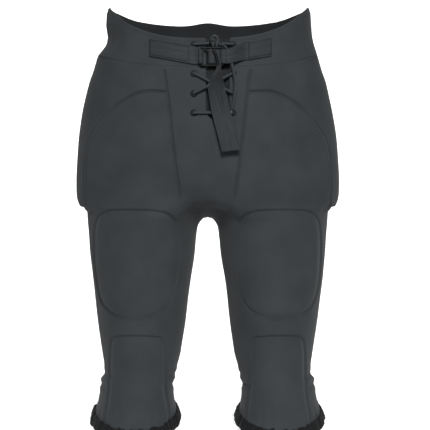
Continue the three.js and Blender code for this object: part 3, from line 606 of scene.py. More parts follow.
@dataclass(frozen=True)
class BodyForm:
    """The outer surface: torso levels and leg levels, blended at the crotch.

    A torso level is (height at the side, half width, depth to the front, depth to the back, share of the
    waist dip, pinch at the middle). A leg level is (height, centre X, half width, centre Y, half depth).
    """

    torso: tuple[tuple[float, ...], ...] = (
        (23, 160, 98, 102, 1, 0), (-15, 163, 100, 104, 0.7, 0), (-53, 172, 103, 107, 0.41, 0),
        (-98, 185, 108, 114, 0.08, 0), (-145, 195, 112, 121, 0, 0), (-190, 201, 114, 127, 0, 0),
        (-243, 204, 112, 128, 0, 0.06), (-272, 203, 108, 122, 0, 0.16), (-285, 199, 106, 118, 0, 0.24),
    )
    leg: tuple[tuple[float, ...], ...] = (
        (-262, 97, 88, 6, 100), (-293, 96, 91.5, 5, 101), (-315, 100.8, 85.3, 3, 99),
        (-354, 101.5, 81.5, 0, 94), (-412, 102.6, 74, -3, 87), (-470, 102.4, 67.2, -6, 79),
        (-509, 102.4, 61.1, -8, 73), (-540, 104.5, 55.5, -10, 68), (-556, 109.4, 56.1, -10, 69),
        (-590, 111, 60, -10, 73), (-602, 111.5, 63.5, -10, 76),
    )
    front_dip: float = 56
    back_dip: float = 15
    back_hump: float = 6
    roundness: float = 0.92
    pinch_width: float = 42
    cuff_slope: float = 0.28
    cuff_start: float = -509
    cuff_full: float = -590
    hem: float = -602
    split: float = -281  # the torso's last row, where the legs begin
    crotch: float = -299
    blend_end: float = -335
    step: float = 3.2  # length of a face's side

    def dip(self, share: Array, front: Array) -> Array:
        """How far the waist's edge lies under its side corners, at a share of the half width."""
        u = np.clip(np.abs(share), 0, 1)
        ahead = self.front_dip * (1 - u**2.8)
        behind = self.back_dip * (1 - u**3) - self.back_hump * np.exp(-((u / 0.16) ** 2))
        return np.where(front, ahead, behind)

    def level(self, height: Array) -> list[Array]:
        """Half width, front, back, dip and pinch of the torso at nominal heights."""
        rows = np.array(self.torso, float)
        return [through(rows[:, 0], rows[:, k], height) for k in range(1, 6)]

    def torso_points(self, height: Array, angle: Array) -> Array:
        """Places on the torso at nominal heights and angles; they broadcast together."""
        half, front, back, dip, pinch = self.level(height)
        c, s = np.cos(angle), np.sin(angle)
        x = half * np.sign(c) * np.abs(c) ** self.roundness
        depth = np.where(s < 0, front, back) * (1 - pinch * np.exp(-((x / self.pinch_width) ** 2)))
        y = depth * np.sign(s) * np.abs(s) ** self.roundness
        z = height - dip * self.dip(x / half, s < 0)
        return np.stack(np.broadcast_arrays(x, y, z), axis=-1)

    def leg_points(self, height: Array, angle: Array) -> Array:
        """Places on the left leg at heights and angles, with the cuff's slope."""
        rows = np.array(self.leg, float)
        cx, half, cy, depth = (through(rows[:, 0], rows[:, k], height) for k in range(1, 5))
        x, y = cx + half * np.cos(angle), cy + depth * np.sin(angle)
        ramp = np.clip((self.cuff_start - height) / (self.cuff_start - self.cuff_full), 0, 1)
        return np.stack(np.broadcast_arrays(x, y, height + self.cuff_slope * ramp * (y - cy)), axis=-1)

    def depth_at(self, x: Array, z: Array, front: bool = True, inset: float = 0.0) -> Array:
        """The surface's Y at places in X and Z on the torso's front or back."""
        x, z = np.broadcast_arrays(np.asarray(x, float), np.asarray(z, float))
        low, high = np.full(x.shape, self.torso[-1][0], float), np.full(x.shape, 60.0)
        for _ in range(30):
            middle = (low + high) / 2
            half, _, _, dip, _ = self.level(middle)
            above = middle - dip * self.dip(x / half, front) > z
            high, low = np.where(above, middle, high), np.where(above, low, middle)
        half, ahead, behind, _, pinch = self.level(low)
        share = np.clip(np.abs(x) / (half - inset), 0, 1)
        rise = np.sqrt(1 - share ** (2 / self.roundness)) ** self.roundness
        depth = ((ahead if front else behind) - inset) * (1 - pinch * np.exp(-((x / self.pinch_width) ** 2)))
        return (-1 if front else 1) * depth * rise

    def waist_seam(self, x: Array, front: Array) -> Array:
        """Height of the waistband's lower seam."""
        height, half, share = self.torso[2][0], self.torso[2][1], self.torso[2][4]
        return height - share * self.dip(x / half, front)

    def blend_columns(self, top: Array) -> Array:
        """Angles on the leg's ellipse for the points of the ring where the leg begins."""
        _, cx, half, cy, depth = self.leg[1]
        return np.arctan2((top[:, 1] - cy) / depth, (top[:, 0] - cx) / half)

    def blend_rows(self, top: Array, angle: Array, rows: int) -> Array:
        """Rows of the leg between the ring where it begins and its first plain ellipse."""
        t = np.linspace(0, 1, 80)[:, None] ** 1.8
        height = top[None, :, 2] + (self.blend_end - top[None, :, 2]) * t
        ellipse = self.leg_points(height, angle[None, :])
        outer = smoothstep((top[:, 0] - 150) / 40)
        inner = 1 - smoothstep(top[:, 0] / 45)
        run = 30 - 17 * outer - 18 * inner
        share = np.clip((top[None, :, 2] - height) / run, 0, 1)
        arch = np.sqrt(1 - (1 - share) ** 2)
        weight = (smoothstep(share) * (1 - inner) + arch * inner)[..., None]
        path = top[None] * (1 - weight) + ellipse * weight
        path[..., 2] = height
        made = np.empty((rows, len(top), 3))
        for k in range(len(top)):
            along = np.concatenate([[0], np.cumsum(np.linalg.norm(np.diff(path[:, k], axis=0), axis=1))])
            wanted = np.linspace(0, along[-1], rows + 1)[1:]
            made[:, k] = np.stack([np.interp(wanted, along, path[:, k, axis]) for axis in range(3)], axis=1)
        return made

    def surface(self) -> tuple[Array, Array]:
        """Points in millimetres and triangles of the whole outer surface."""
        columns = int(round(1.08 * math.pi * 155 / self.step))
        angle = np.radians(np.linspace(-90, 90, columns + 1))
        rows = int(round((self.torso[0][0] - self.split) / self.step)) + 1
        torso = self.torso_points(np.linspace(self.torso[0][0], self.split, rows)[:, None], angle[None])
        torso[:, [0, -1], 0] = 0
        top = torso[-1]
        bridge = int(round((top[-1, 1] - top[0, 1]) / self.step))
        y = np.linspace(top[-1, 1], top[0, 1], bridge + 1)[1:-1]
        reach = np.where(y < 0, y / top[0, 1], y / top[-1, 1])
        arch = np.stack([0 * y, y, self.crotch + (self.split - self.crotch) * np.abs(reach) ** 2.2], axis=1)
        ring = np.vstack([top, arch])
        turn = self.blend_columns(ring)
        blended = self.blend_rows(ring, turn, int(round(55 / self.step)))
        plain = np.linspace(
            self.blend_end, self.hem, int(round((self.blend_end - self.hem) / self.step)) + 1
        )[1:]
        legs = np.concatenate([blended, self.leg_points(plain[:, None], turn[None])])

        count = columns + 1
        half = [torso.reshape(-1, 3), arch, legs.reshape(-1, 3)]
        left = np.vstack(half)
        quads = [grid_faces(rows, count)]
        first = np.concatenate(
            [np.arange((rows - 1) * count, rows * count), rows * count + np.arange(len(arch))]
        )
        start = rows * count + len(arch)
        rings = np.vstack([first, start + np.arange(len(legs) * len(ring)).reshape(len(legs), -1)])
        following = np.roll(rings, -1, axis=1)
        quads.append(np.stack([rings[:-1], rings[1:], following[1:], following[:-1]], axis=-1).reshape(-1, 4))
        quads = np.vstack(quads)

        # The right half mirrors the left one and shares the points on the middle line.
        shared = np.abs(left[:, 0]) < 1e-6
        shared[start:] = False
        index = np.where(shared, np.arange(len(left)), 0)
        index[~shared] = len(left) + np.arange((~shared).sum())
        points = np.vstack([left, left[~shared] * [-1, 1, 1]])
        quads = np.vstack([quads, index[quads][:, ::-1]])
        faces = np.vstack([quads[:, [0, 1, 2]], quads[:, [0, 2, 3]]])
        return self.relax(points, faces), faces

    def relax(self, points: Array, faces: Array) -> Array:
        """Smooths the saddle at the crotch, where the two legs and the torso meet."""
        edges = np.unique(
            np.sort(np.vstack([faces[:, [0, 1]], faces[:, [1, 2]], faces[:, [2, 0]]]), axis=1), axis=0
        )
        x, _, z = points.T
        weight = 0.6 * np.exp(-((x / 38) ** 2) - ((z - self.crotch - 6) / 26) ** 2)
        count = np.bincount(edges.ravel(), minlength=len(points))[:, None]
        for _ in range(24):
            total = np.zeros_like(points)
            np.add.at(total, edges[:, 0], points[edges[:, 1]])
            np.add.at(total, edges[:, 1], points[edges[:, 0]])
            points = points + weight[:, None] * (total / count - points)
        return points


class Cloth:
    """A triangle surface in millimetres that is cut along lines and sorted into panels."""

    SNAP = 0.22  # a point this near along its edge to a new line moves onto it

    def __init__(self, points: Array, faces: Array) -> None:
        """Takes a surface; the points on each cut are kept as bits."""
        self.points, self.faces = points.copy(), faces.copy()
        self.marks = np.zeros(len(points), np.int64)

    def copy(self) -> Cloth:
        """A second cloth with the same points, faces and cuts."""
        other = Cloth(self.points, self.faces)
        other.marks = self.marks.copy()
        return other

    def centres(self) -> Array:
        """Middles of the faces."""
        return self.points[self.faces].mean(axis=1)

    def scope(self, half: Half) -> Array:
        """The faces on one half of the garment."""
        y = self.centres()[:, 1]
        return {Half.FRONT: y < 0, Half.BACK: y >= 0, Half.BOTH: y == y}[half]

    def cut(self, reach: Array, bit: int, half: Half = Half.BOTH) -> None:
        """Adds points and edges where a value on the points passes zero.

        Args:
            reach: one value for each point.
            bit: number of the cut, kept on the points that lie on it.
            half: the half of the garment that is cut.
        """
        faces, reach = self.faces, reach.astype(float).copy()
        pairs = np.sort(faces[:, [0, 1, 1, 2, 2, 0]].reshape(-1, 2), axis=1)
        key, where = np.unique(pairs[:, 0] * len(self.points) + pairs[:, 1], return_inverse=True)
        a, b = key // len(self.points), key % len(self.points)
        allowed = np.zeros(len(key), bool)
        allowed[where.reshape(-1, 3)[self.scope(half)].ravel()] = True
        crossing = allowed & (reach[a] * reach[b] < 0)
        share = np.where(crossing, reach[a] / np.where(crossing, reach[a] - reach[b], 1), 0.5)
        for near, start, end in (
            (crossing & (share < self.SNAP), a, b), (crossing & (share > 1 - self.SNAP), b, a)
        ):
            near &= reach[a] * reach[b] < 0
            free = near & (self.marks[start] == 0)
            s, e = start[free], end[free]
            t = (reach[s] / (reach[s] - reach[e]))[:, None]
            self.points[s] = self.points[s] * (1 - t) + self.points[e] * t
            reach[s] = 0
            stuck = near & (self.marks[start] != 0) & (np.abs(share - 0.5) > 0.47)
            reach[start[stuck]] = 0
        touched = np.zeros(len(self.points), bool)
        touched[faces[self.scope(half)].ravel()] = True
        self.marks[touched & (np.abs(reach) < 1e-9)] |= 1 << bit
        crossing = allowed & (reach[a] * reach[b] < 0)
        ia, ib = a[crossing], b[crossing]
        t = (reach[ia] / (reach[ia] - reach[ib]))[:, None]
        fresh = len(self.points) + np.arange(len(ia))
        self.points = np.vstack([self.points, self.points[ia] * (1 - t) + self.points[ib] * t])
        self.marks = np.concatenate([self.marks, (self.marks[ia] & self.marks[ib]) | (1 << bit)])
        number = np.full(len(key), -1)
        number[crossing] = fresh
        on_side = number[where].reshape(-1, 3)
        split = (on_side >= 0).sum(axis=1)
        out = [faces[split == 0]]
        for count in (1, 2, 3):
            f, m = faces[split == count], on_side[split == count]
            if not len(f):
                continue
            turn = np.zeros(len(f), int)
            if count == 1:
                turn = np.argmax(m >= 0, axis=1)
            if count == 2:
                turn = (np.argmax(m < 0, axis=1) + 1) % 3
            order = (turn[:, None] + np.arange(3)) % 3
            f, m = np.take_along_axis(f, order, 1), np.take_along_axis(m, order, 1)
            v0, v1, v2, n0, n1, n2 = *f.T, *m.T
            if count == 1:
                out += [np.stack([v0, n0, v2], 1), np.stack([n0, v1, v2], 1)]
            elif count == 2:
                out += [np.stack([n0, v1, n1], 1), np.stack([v0, n0, n1], 1), np.stack([v0, n1, v2], 1)]
            else:
                out += [np.stack([v0, n0, n2], 1), np.stack([n0, v1, n1], 1), np.stack([n2, n1, v2], 1)]
                out += [np.stack([n0, n1, n2], 1)]
        self.faces = np.vstack(out)

    def part(self, chosen: Array) -> tuple[Array, Array, Array]:
        """Indices of the points used, their faces and the chosen faces renumbered."""
        used = np.unique(self.faces[chosen])
        number = np.full(len(self.points), -1)
        number[used] = np.arange(len(used))
        return used, self.faces[chosen], number[self.faces[chosen]]


@dataclass(frozen=True)
class Seams:
    """Seam lines and pad outlines, as (X, Z) of the left side, or (Y, Z) for the hip pad."""

    form: BodyForm
    gusset: Outline = (
        (66, 0), (60, -114), (55, -158), (50, -205), (42, -259), (37, -286), (20, -299), (0, -306)
    )
    arch: Outline = (
        (60, -114), (100, -114), (138, -133), (164, -160), (181, -189), (186, -215), (187, -250), (187, -287),
    )
    back_arch: Outline = ((112, 0), (140, -95), (166, -145), (181, -200), (187, -250), (187, -287))
    seat: Outline = ((0, -306), (30, -301), (100, -304), (187, -287))
    thigh: Outline = (
        (52, -303), (66, -295), (90, -292), (125, -291.5), (150, -293), (164, -300), (171, -318), (173, -350),
        (171, -392), (162, -430), (141, -449), (110, -454), (80, -450), (57, -434), (45, -402), (40, -360),
        (42, -325),
    )
    knee: Outline = (
        (68, -488), (72, -484), (105, -481.5), (138, -483), (145, -487), (148, -510), (149, -560),
        (150, -640),
        (64, -640), (65, -560), (66, -505),
    )
    knee_foam: Outline = (
        (71, -488), (76, -486), (105, -484), (136, -485), (142, -489), (145, -510), (145, -560), (141, -592),
        (106, -598), (71, -592), (67, -560), (68, -505),
    )
    tailbone: Outline = (
        (-30, -95), (30, -95), (46, -112), (44, -170), (26, -225), (0, -236), (-26, -225), (-44, -170),
        (-46, -112),
    )
    hip: Outline = (
        (-38, -84), (0, -76), (38, -84), (66, -130), (72, -200), (64, -262), (30, -278), (-30, -278),
        (-62, -262), (-70, -200), (-66, -130),
    )
    fly_middle: float = 15.5
    fly_half: float = 17.5
    fly_foot: float = -158

    def from_waist(self, line: Outline, front: bool) -> Array:
        """A seam whose first point is moved onto the waist seam."""
        points = np.array(line, float)
        points[0, 1] = self.form.waist_seam(points[0, 0], front)
        return points

    def gusset_line(self) -> Array:
        """The front gusset's left seam."""
        return spline(self.from_waist(self.gusset, True), 40)

    def arch_line(self) -> Array:
        """The front seam of the left hip panel."""
        return spline(np.array(self.arch, float), 40)

    def back_line(self) -> Array:
        """The back seam of the left hip panel."""
        return spline(self.from_waist(self.back_arch, False), 40)

    def seat_line(self) -> Array:
        """The seam under the seat, left side."""
        return spline(np.array(self.seat, float), 24)

    def gusset_outline(self) -> Array:
        """The front gusset as an outline that runs on past the waist and the crotch."""
        line = self.gusset_line()
        line = np.vstack([[line[0, 0], 80], line, [0, -330]])
        return np.vstack([line, (line * [-1, 1])[::-1]])

    def yoke_outline(self, front: bool) -> Array:
        """The hip panel's left side as an outline that runs on past the seams round it."""
        line = self.arch_line() if front else self.back_line()
        lead = [[20, 90], [20, -114]] if front else [[line[0, 0], 90]]
        return np.vstack([lead, line, [[260, -287], [260, 90]]])

    def seat_outline(self) -> Array:
        """Everything over the seat line, as an outline."""
        line = self.seat_line()
        line = np.vstack([line, [[260, -287], [260, 90]]])
        return np.vstack([line, (line * [-1, 1])[::-1]])

    def fly_outline(self) -> Array:
        """The slot between the two edges of the fly, with a round foot."""
        turn = np.linspace(math.pi, 2 * math.pi, 13)
        arc = np.stack([np.cos(turn), 1 + np.sin(turn)], axis=1)
        foot = arc * self.fly_half + [self.fly_middle, self.fly_foot]
        left, right = self.fly_middle - self.fly_half, self.fly_middle + self.fly_half
        return np.vstack([foot, [[right, 90], [left, 90]]])


# ---- Shell --------------------------------------------------------------------------------------------
@dataclass
class Shell:
    """The knit panels, with their pads raised under them and their seams drawn in."""

    form: BodyForm
    seams: Seams
    finishes: Finishes
    knit: float = 1.8
    pad_rise: float = 2.6  # how far a pad lifts the cloth over it
    pad_edge: float = 9.0
    groove: float = 1.5
    groove_width: float = 1.8
    stitch_offset: float = 2.4
    fold: float = 0.5
    corner_rise: float = 2.4
    side_draw: float = 3.5  # how far the waistband's right side is drawn in at its top edge
    side_draw_below: float = 5.0  # and how much further lower down
    left_share: float = 0.1  # of that, on the wearer's left
    rim_curl: float = 3.5  # how far the top edge curls in at the sides
    knee_gather: float = 1.5  # height of the gathers beside the knee pads
    stretch: float = 1.06  # not used: the knit would be cut this much smaller and stretched on
    cloth: Cloth = field(init=False)
    bare: Cloth = field(init=False)
    stitch_bits: dict[int, Half] = field(default_factory=dict)

    def mirrored(self, places: Array) -> Array:
        """Places in X and Z folded onto the left side."""
        return np.stack([np.abs(places[:, 0]), places[:, 2]], axis=1)

    def build_surface(self) -> None:
        """Makes the surface and cuts it along every seam and stitch line."""
        points, faces = self.form.surface()
        cloth = Cloth(points, faces)
        self.bare = cloth.copy()
        bit = 0

        def cut(reach_of, half: Half, stitches: tuple[float, ...] = ()) -> None:
            """Cuts along a line and beside it, where its stitches and its groove lie."""
            nonlocal bit
            cloth.cut(reach_of(cloth.points), bit, half)
            bit += 1
            for offset in stitches:
                cloth.cut(reach_of(cloth.points) - offset, bit, half)
                if abs(offset) == self.stitch_offset:
                    self.stitch_bits[bit] = half
                bit += 1

        s, beside = self.seams, self.stitch_offset
        both = (beside, -beside, 0.9, -0.9)
        cut(lambda p: p[:, 1], Half.BOTH)
        cut(
            lambda p: p[:, 2] - self.form.waist_seam(p[:, 0], p[:, 1] < 0), Half.BOTH, (beside, -beside, -0.9)
        )
        cut(lambda p: signed_distance(p[:, [0, 2]], s.gusset_outline()), Half.FRONT, both)
        cut(lambda p: signed_distance(self.mirrored(p), s.yoke_outline(True)), Half.FRONT, both)
        cut(lambda p: signed_distance(self.mirrored(p), s.yoke_outline(False)), Half.BACK, both)
        cut(lambda p: signed_distance(p[:, [0, 2]], s.seat_outline()), Half.BACK, (beside, -beside))
        cut(lambda p: p[:, 0], Half.BACK, (beside, -beside))
        cut(
            lambda p: signed_distance(self.mirrored(p), self.smooth_outline(s.thigh)), Half.FRONT,
            (beside, 1.0)
        )
        cut(
            lambda p: signed_distance(self.mirrored(p), self.smooth_outline(s.knee)), Half.FRONT,
            (beside, 1.0)
        )
        cut(lambda p: signed_distance(p[:, [0, 2]], s.fly_outline()), Half.FRONT, (beside,))
        self.cloth = cloth

    @staticmethod
    def smooth_outline(outline: Outline) -> Array:
        """A closed outline through its few points."""
        return spline(np.array(outline, float), 64, True)

    def seam_distance(self, points: Array) -> Array:
        """Distance to the nearest real seam, in the plane of the half that it is drawn on."""
        side = self.mirrored(points)
        front, s = points[:, 1] < 0, self.seams
        far = np.full(len(points), 99.0)
        z = points[:, 2]
        ahead = np.minimum.reduce([
            line_distance(side, s.gusset_line()),
            line_distance(side, s.arch_line()),
            line_distance(side, self.smooth_outline(s.thigh), True),
            line_distance(side, self.smooth_outline(s.knee), True),
        ])
        middle = np.where(
            (z > s.seat[0][1] + 6) & (z < self.form.waist_seam(0, False)), np.abs(points[:, 0]), far
        )
        behind = np.minimum.reduce(
            [line_distance(side, s.back_line()), line_distance(side, s.seat_line()), middle]
        )
        nearest = np.where(front, ahead, behind)
        waist = np.abs(z - self.form.waist_seam(points[:, 0], front))
        foot = np.where(side[:, 0] > 185, np.abs(z + 287), far)
        inseam = np.where((z < -287) | (z > self.form.torso[2][0]), np.abs(points[:, 1]), far)
        return np.minimum.reduce([nearest, waist, foot, inseam])

    def pad_cover(self, points: Array) -> Array:
        """From 0 beside the pads to 1 over them."""
        side, s = self.mirrored(points), self.seams
        y, z, x = points[:, 1], points[:, 2], np.abs(points[:, 0])
        front = y < 0
        cover = np.zeros(len(points))
        for outline in (s.thigh, s.knee):
            reach = -signed_distance(side, self.smooth_outline(outline))
            cover = np.maximum(cover, np.where(front, smoothstep(reach / self.pad_edge), 0))
        tail = -signed_distance(points[:, [0, 2]], self.smooth_outline(s.tailbone))
        cover = np.maximum(cover, np.where(~front, 0.5 * smoothstep(tail / 14), 0))
        hip = -signed_distance(np.stack([y, z], axis=1), self.smooth_outline(s.hip))
        return np.maximum(cover, np.where(x > 120, 0.35 * smoothstep(hip / 16), 0))

    def drape(self, points: Array) -> Array:
        """Small soft folds: across the lap, behind the knees and beside them."""
        x, y, z = points.T
        side = np.abs(x)
        wave = np.sin(x / 23 + 1.3 * np.sin(z / 41)) * np.sin(z / 29 + x / 61)
        calm = smoothstep((self.form.waist_seam(x, y < 0) - z) / 40)
        folds = self.fold * wave * calm
        angle = np.arctan2(y + 10, side - 110)
        beside_knee = np.exp(-(((z + 552) / 16) ** 2)) * (0.35 + 0.65 * np.abs(np.cos(angle)) ** 3)
        gather = np.sin((z + 3.0 * np.sin(angle * 5)) / 2.6)
        folds = folds + self.knee_gather * beside_knee * gather * (np.abs(y + 10) < 62)
        cuff = smoothstep((-585 - z) / 17)
        return folds + 0.45 * cuff * np.sin(angle * 26 + 0.8 * np.sin(angle * 7))

    def height(self, points: Array) -> Array:
        """How far the cloth lies over the bare surface: over its pads and down into its seams."""
        distance, depth = self.seam_distance(points), self.seam_depth(points)
        groove = -self.groove * np.exp(-((distance / self.groove_width) ** 2)) * depth
        lip = 0.35 * np.exp(-(((distance - 3.4) / 1.8) ** 2)) * depth
        height = self.pad_rise * self.pad_cover(points) + groove + lip
        height = height + self.drape(points) + self.side_shape(points)
        fly = np.abs(signed_distance(points[:, [0, 2]], self.seams.fly_outline()))
        height += np.where(
            points[:, 1] < 0, -0.5 * np.exp(-((fly / 1.4) ** 2)) + 0.4 * smoothstep(1 - fly / 22), 0
        )
        return height

    def seam_depth(self, points: Array) -> Array:
        """How deep a seam is drawn in: less along the front of the waist and under the crotch."""
        x, z, front = np.abs(points[:, 0]), points[:, 2], points[:, 1] < 0
        waist = np.abs(z - self.form.waist_seam(points[:, 0], front)) < 7
        shallow = np.where(front, 0.15 * smoothstep((x - 125) / 30), 0.8)
        under = smoothstep((-262 - z) / 20) * (1 - smoothstep((x - 42) / 12))
        return np.where(waist, shallow, 1 - 0.85 * np.where(front, under, 0))

    def side_shape(self, points: Array) -> Array:
        """The waistband is drawn in on the wearer's right, and its top edge curls in at the sides."""
        x, z = np.abs(points[:, 0]), points[:, 2]
        upright = self.side_draw + self.side_draw_below * smoothstep(-z / 25)
        upright = upright * (1 - smoothstep((-28 - z) / 27)) * smoothstep((x - 120) / 32)
        upright = np.where(points[:, 0] < 0, upright, self.left_share * upright)
        curl = self.rim_curl * np.clip((z - 14) / 9, 0, 1) ** 2 * smoothstep((x - 144) / 12)
        top, half_width = self.form.torso[0][:2]
        level = top - self.form.dip(points[:, 0] / half_width, points[:, 1] < 0) - z
        rim = 0.8 * np.exp(-(((level - 6.5) / 1.6) ** 2))
        return -upright - curl - rim

    def weave_uv(self, points: Array) -> Array:
        """Cloth coordinates in metres that follow the torso and then each leg."""
        x, y, z = points.T
        side = np.sign(x + 1e-9)
        deep = np.maximum(np.abs(y), 1)
        torso = 160 * np.arctan2(x, 1.5 * deep)
        leg = side * 102 + 85 * np.arctan2(x - side * 102, deep)
        mix = smoothstep((-240 - z) / 90)
        return np.stack([torso * (1 - mix) + leg * mix, z], axis=1) * MM

    def panel_masks(self) -> dict[str, Array]:
        """The faces of each panel, by the node that it stands for."""
        p = self.cloth.centres()
        x, y, z = p.T
        flat, side, s = p[:, [0, 2]], self.mirrored(p), self.seams
        front = y < 0
        band = z > self.form.waist_seam(x, front)
        fly = front & (signed_distance(flat, s.fly_outline()) < 0)
        in_gusset = signed_distance(flat, s.gusset_outline()) < 0
        gusset = front & ~band & in_gusset & (z > -312) & (side[:, 0] < 70)
        yoke = ~band & ~gusset & np.where(
            front,
            signed_distance(side, s.yoke_outline(True)) < 0,
            signed_distance(side, s.yoke_outline(False)) < 0,
        )
        seat = ~front & ~band & ~yoke & (signed_distance(flat, s.seat_outline()) < 0)
        masks = {"front_gusset": gusset & ~fly, "waistband_back": band & ~front}
        for end, here in (("left", x > 0), ("right", x < 0)):
            masks[f"waistband_front_{end}"] = band & front & here & ~fly
            masks[f"hip_yoke_{end}"] = yoke & here
            masks[f"front_leg_{end}"] = front & ~band & ~gusset & ~yoke & here
            masks[f"seat_{end}"] = seat & here
            masks[f"back_leg_{end}"] = ~front & ~band & ~yoke & ~seat & here
        # The fly's two band ends lie on either side of a slot that isn't in the middle.
        strip = band & front & ~fly & (np.abs(x) < 40)
        for end, here in (("left", x > s.fly_middle), ("right", x < s.fly_middle)):
            name = f"waistband_front_{end}"
            masks[name] = (masks[name] & ~strip) | (strip & here)
        return masks

    def build_panels(self) -> None:
        """Makes one piece for each panel, with its thickness."""
        normals = normals_of(self.cloth.points, self.cloth.faces)
        self.outer = self.cloth.points + normals * self.height(self.cloth.points)[:, None]
        x, z = np.abs(self.outer[:, 0]), self.outer[:, 2]
        self.outer[:, 2] += self.corner_rise * smoothstep((x - 112) / 36) * smoothstep((z + 8) / 26)
        uv = self.weave_uv(self.cloth.points)
        for name, chosen in self.panel_masks().items():
            used, _, faces = self.cloth.part(chosen)
            piece = make_object(name + "_cloth", self.outer[used] * MM, faces, uv[used])
            wall = piece.modifiers.new("wall", "SOLIDIFY")
            wall.thickness, wall.offset, wall.use_even_offset = self.knit * MM, -1, False
            wall.material_offset = 1
            band = name.startswith("waistband")
            piece.data.materials.append(self.finishes.band if band else self.finishes.knit)
            # The inside faces take the darker inner knit, whose colour is painted shade.
            piece.data.materials.append(self.finishes.inside)
            baked(piece)
            finish_piece(piece, "root", "waistband" if band else "knit", None, name)

    def build_stitches(self) -> None:
        """Sews the flat stitches that run beside each seam."""
        normals = normals_of(self.outer, self.cloth.faces)
        faces = self.cloth.faces
        masks = self.panel_masks()
        kept = np.zeros(len(faces), bool)
        for chosen in masks.values():
            kept |= chosen
        pairs = np.unique(
            np.sort(
                np.vstack([faces[kept][:, [0, 1]], faces[kept][:, [1, 2]], faces[kept][:, [2, 0]]]), axis=1
            ),
            axis=0,
        )
        marks = self.cloth.marks
        real = self.seam_distance(self.cloth.points)
        chosen = np.zeros(len(pairs), bool)
        for bit in self.stitch_bits:
            on = (marks >> bit) & 1 == 1
            chosen |= on[pairs[:, 0]] & on[pairs[:, 1]]
        x, y, z = self.cloth.points.T
        hidden = (y < 0) & (np.abs(x) < 152) & (np.abs(z - self.form.waist_seam(x, True)) < 5)
        hidden |= (y < 0) & (np.abs(x) < 48) & (z < -268)
        near = (np.abs(real - self.stitch_offset) < 0.9) & ~hidden
        chosen &= near[pairs[:, 0]] & near[pairs[:, 1]]
        StitchRow("seam_stitches", 3.0, 2.2, 0.36, self.finishes.seam_thread).sew(
            self.outer + normals * 0.12, normals, pairs[chosen], "root", "knit"
        )


@dataclass(frozen=True)
class StitchRow:
    """A row of short stitches along lines that lie on cloth."""

    name: str
    pitch: float
    length: float
    radius: float
    thread: bpy.types.Material

    def stitch_mesh(self) -> bpy.types.Object:
        """One stitch: a short thread with round ends that dips into the cloth."""
        across, rings = 6, np.array([(-0.5, 0.25), (-0.42, 0.85), (0, 1.0), (0.42, 0.85), (0.5, 0.25)])
        turn = np.linspace(0, 2 * math.pi, across, endpoint=False)
        points = [
            (t * self.length, r * self.radius * math.cos(a), r * self.radius * math.sin(a) - abs(t) * 0.3)
            for t, r in rings
            for a in turn
        ]
        return make_object(self.name + "_one", np.array(points) * MM, capped(len(rings), across, True))

    def tree(self, stitch: bpy.types.Object) -> bpy.types.GeometryNodeTree:
        """Geometry nodes: lines become curves, with a stitch at each step that lies along them."""
        tree = bpy.data.node_groups.new(self.name + "_rule", "GeometryNodeTree")
        tree.interface.new_socket("Geometry", in_out="INPUT", socket_type="NodeSocketGeometry")
        pitch = tree.interface.new_socket("Pitch", in_out="INPUT", socket_type="NodeSocketFloat")
        pitch.default_value = self.pitch * MM
        tree.interface.new_socket("Geometry", in_out="OUTPUT", socket_type="NodeSocketGeometry")
        given = add(tree, "NodeGroupInput")
        curve = add(tree, "GeometryNodeMeshToCurve", Mesh=given.outputs["Geometry"])
        even = add(
            tree, "GeometryNodeResampleCurve", {"mode": "LENGTH"}, Curve=curve.outputs[0],
            Length=given.outputs["Pitch"],
        )
        out = add(tree, "GeometryNodeInputNamedAttribute", {"data_type": "FLOAT_VECTOR"}, Name="out")
        along = add(tree, "GeometryNodeInputTangent")
        turn = add(tree, "FunctionNodeAlignRotationToVector", {"axis": "Z"}, Vector=out.outputs[0])
        turn = add(
            tree, "FunctionNodeAlignRotationToVector", {"axis": "X", "pivot_axis": "Z"},
            Rotation=turn.outputs[0], Vector=along.outputs[0],
        )
        shape = add(tree, "GeometryNodeObjectInfo", Object=stitch)
        placed = add(
            tree, "GeometryNodeInstanceOnPoints", Points=even.outputs[0], Instance=shape.outputs["Geometry"],
            Rotation=turn.outputs[0],
        )
        real = add(tree, "GeometryNodeRealizeInstances", Geometry=placed.outputs[0])
        dressed = add(tree, "GeometryNodeSetMaterial", Geometry=real.outputs[0], Material=self.thread)
        add(tree, "NodeGroupOutput", Geometry=dressed.outputs[0])
        return tree

    def sew(self, points: Array, normals: Array, pairs: Array, body: str, slot: str) -> bpy.types.Object:
        """Sews the row along edges between points.

        Args:
            points: places in millimetres.
            normals: the cloth's outward direction at each place.
            pairs: rows of two indices, the edges to sew along.
            body: the body that the stitches ride on.
            slot: not used.

        Returns:
            The stitches as one plain mesh.
        """
        used = np.unique(pairs)
        number = np.full(len(points), -1)
        number[used] = np.arange(len(used))
        mesh = bpy.data.meshes.new(self.name)
        mesh.from_pydata((points[used] * MM).tolist(), number[pairs].tolist(), [])
        layer = mesh.attributes.new("out", "FLOAT_VECTOR", "POINT")
        layer.data.foreach_set("vector", normals[used].astype(np.float32).ravel())
        piece = bpy.data.objects.new(self.name, mesh)
        bpy.context.scene.collection.objects.link(piece)
        stitch = self.stitch_mesh()
        modifier = piece.modifiers.new("rule", "NODES")
        modifier.node_group = self.tree(stitch)
        baked(piece)
        bpy.data.objects.remove(stitch)
        for polygon in piece.data.polygons:
            polygon.use_smooth = True
        return finish_piece(piece, body, slot, self.thread)


# ---- Padding and linings ------------------------------------------------------------------------------
class Plane(Enum):
    """The plane that an outline is drawn in."""

    FRONT = "front"
    BACK = "back"
    SIDE = "side"


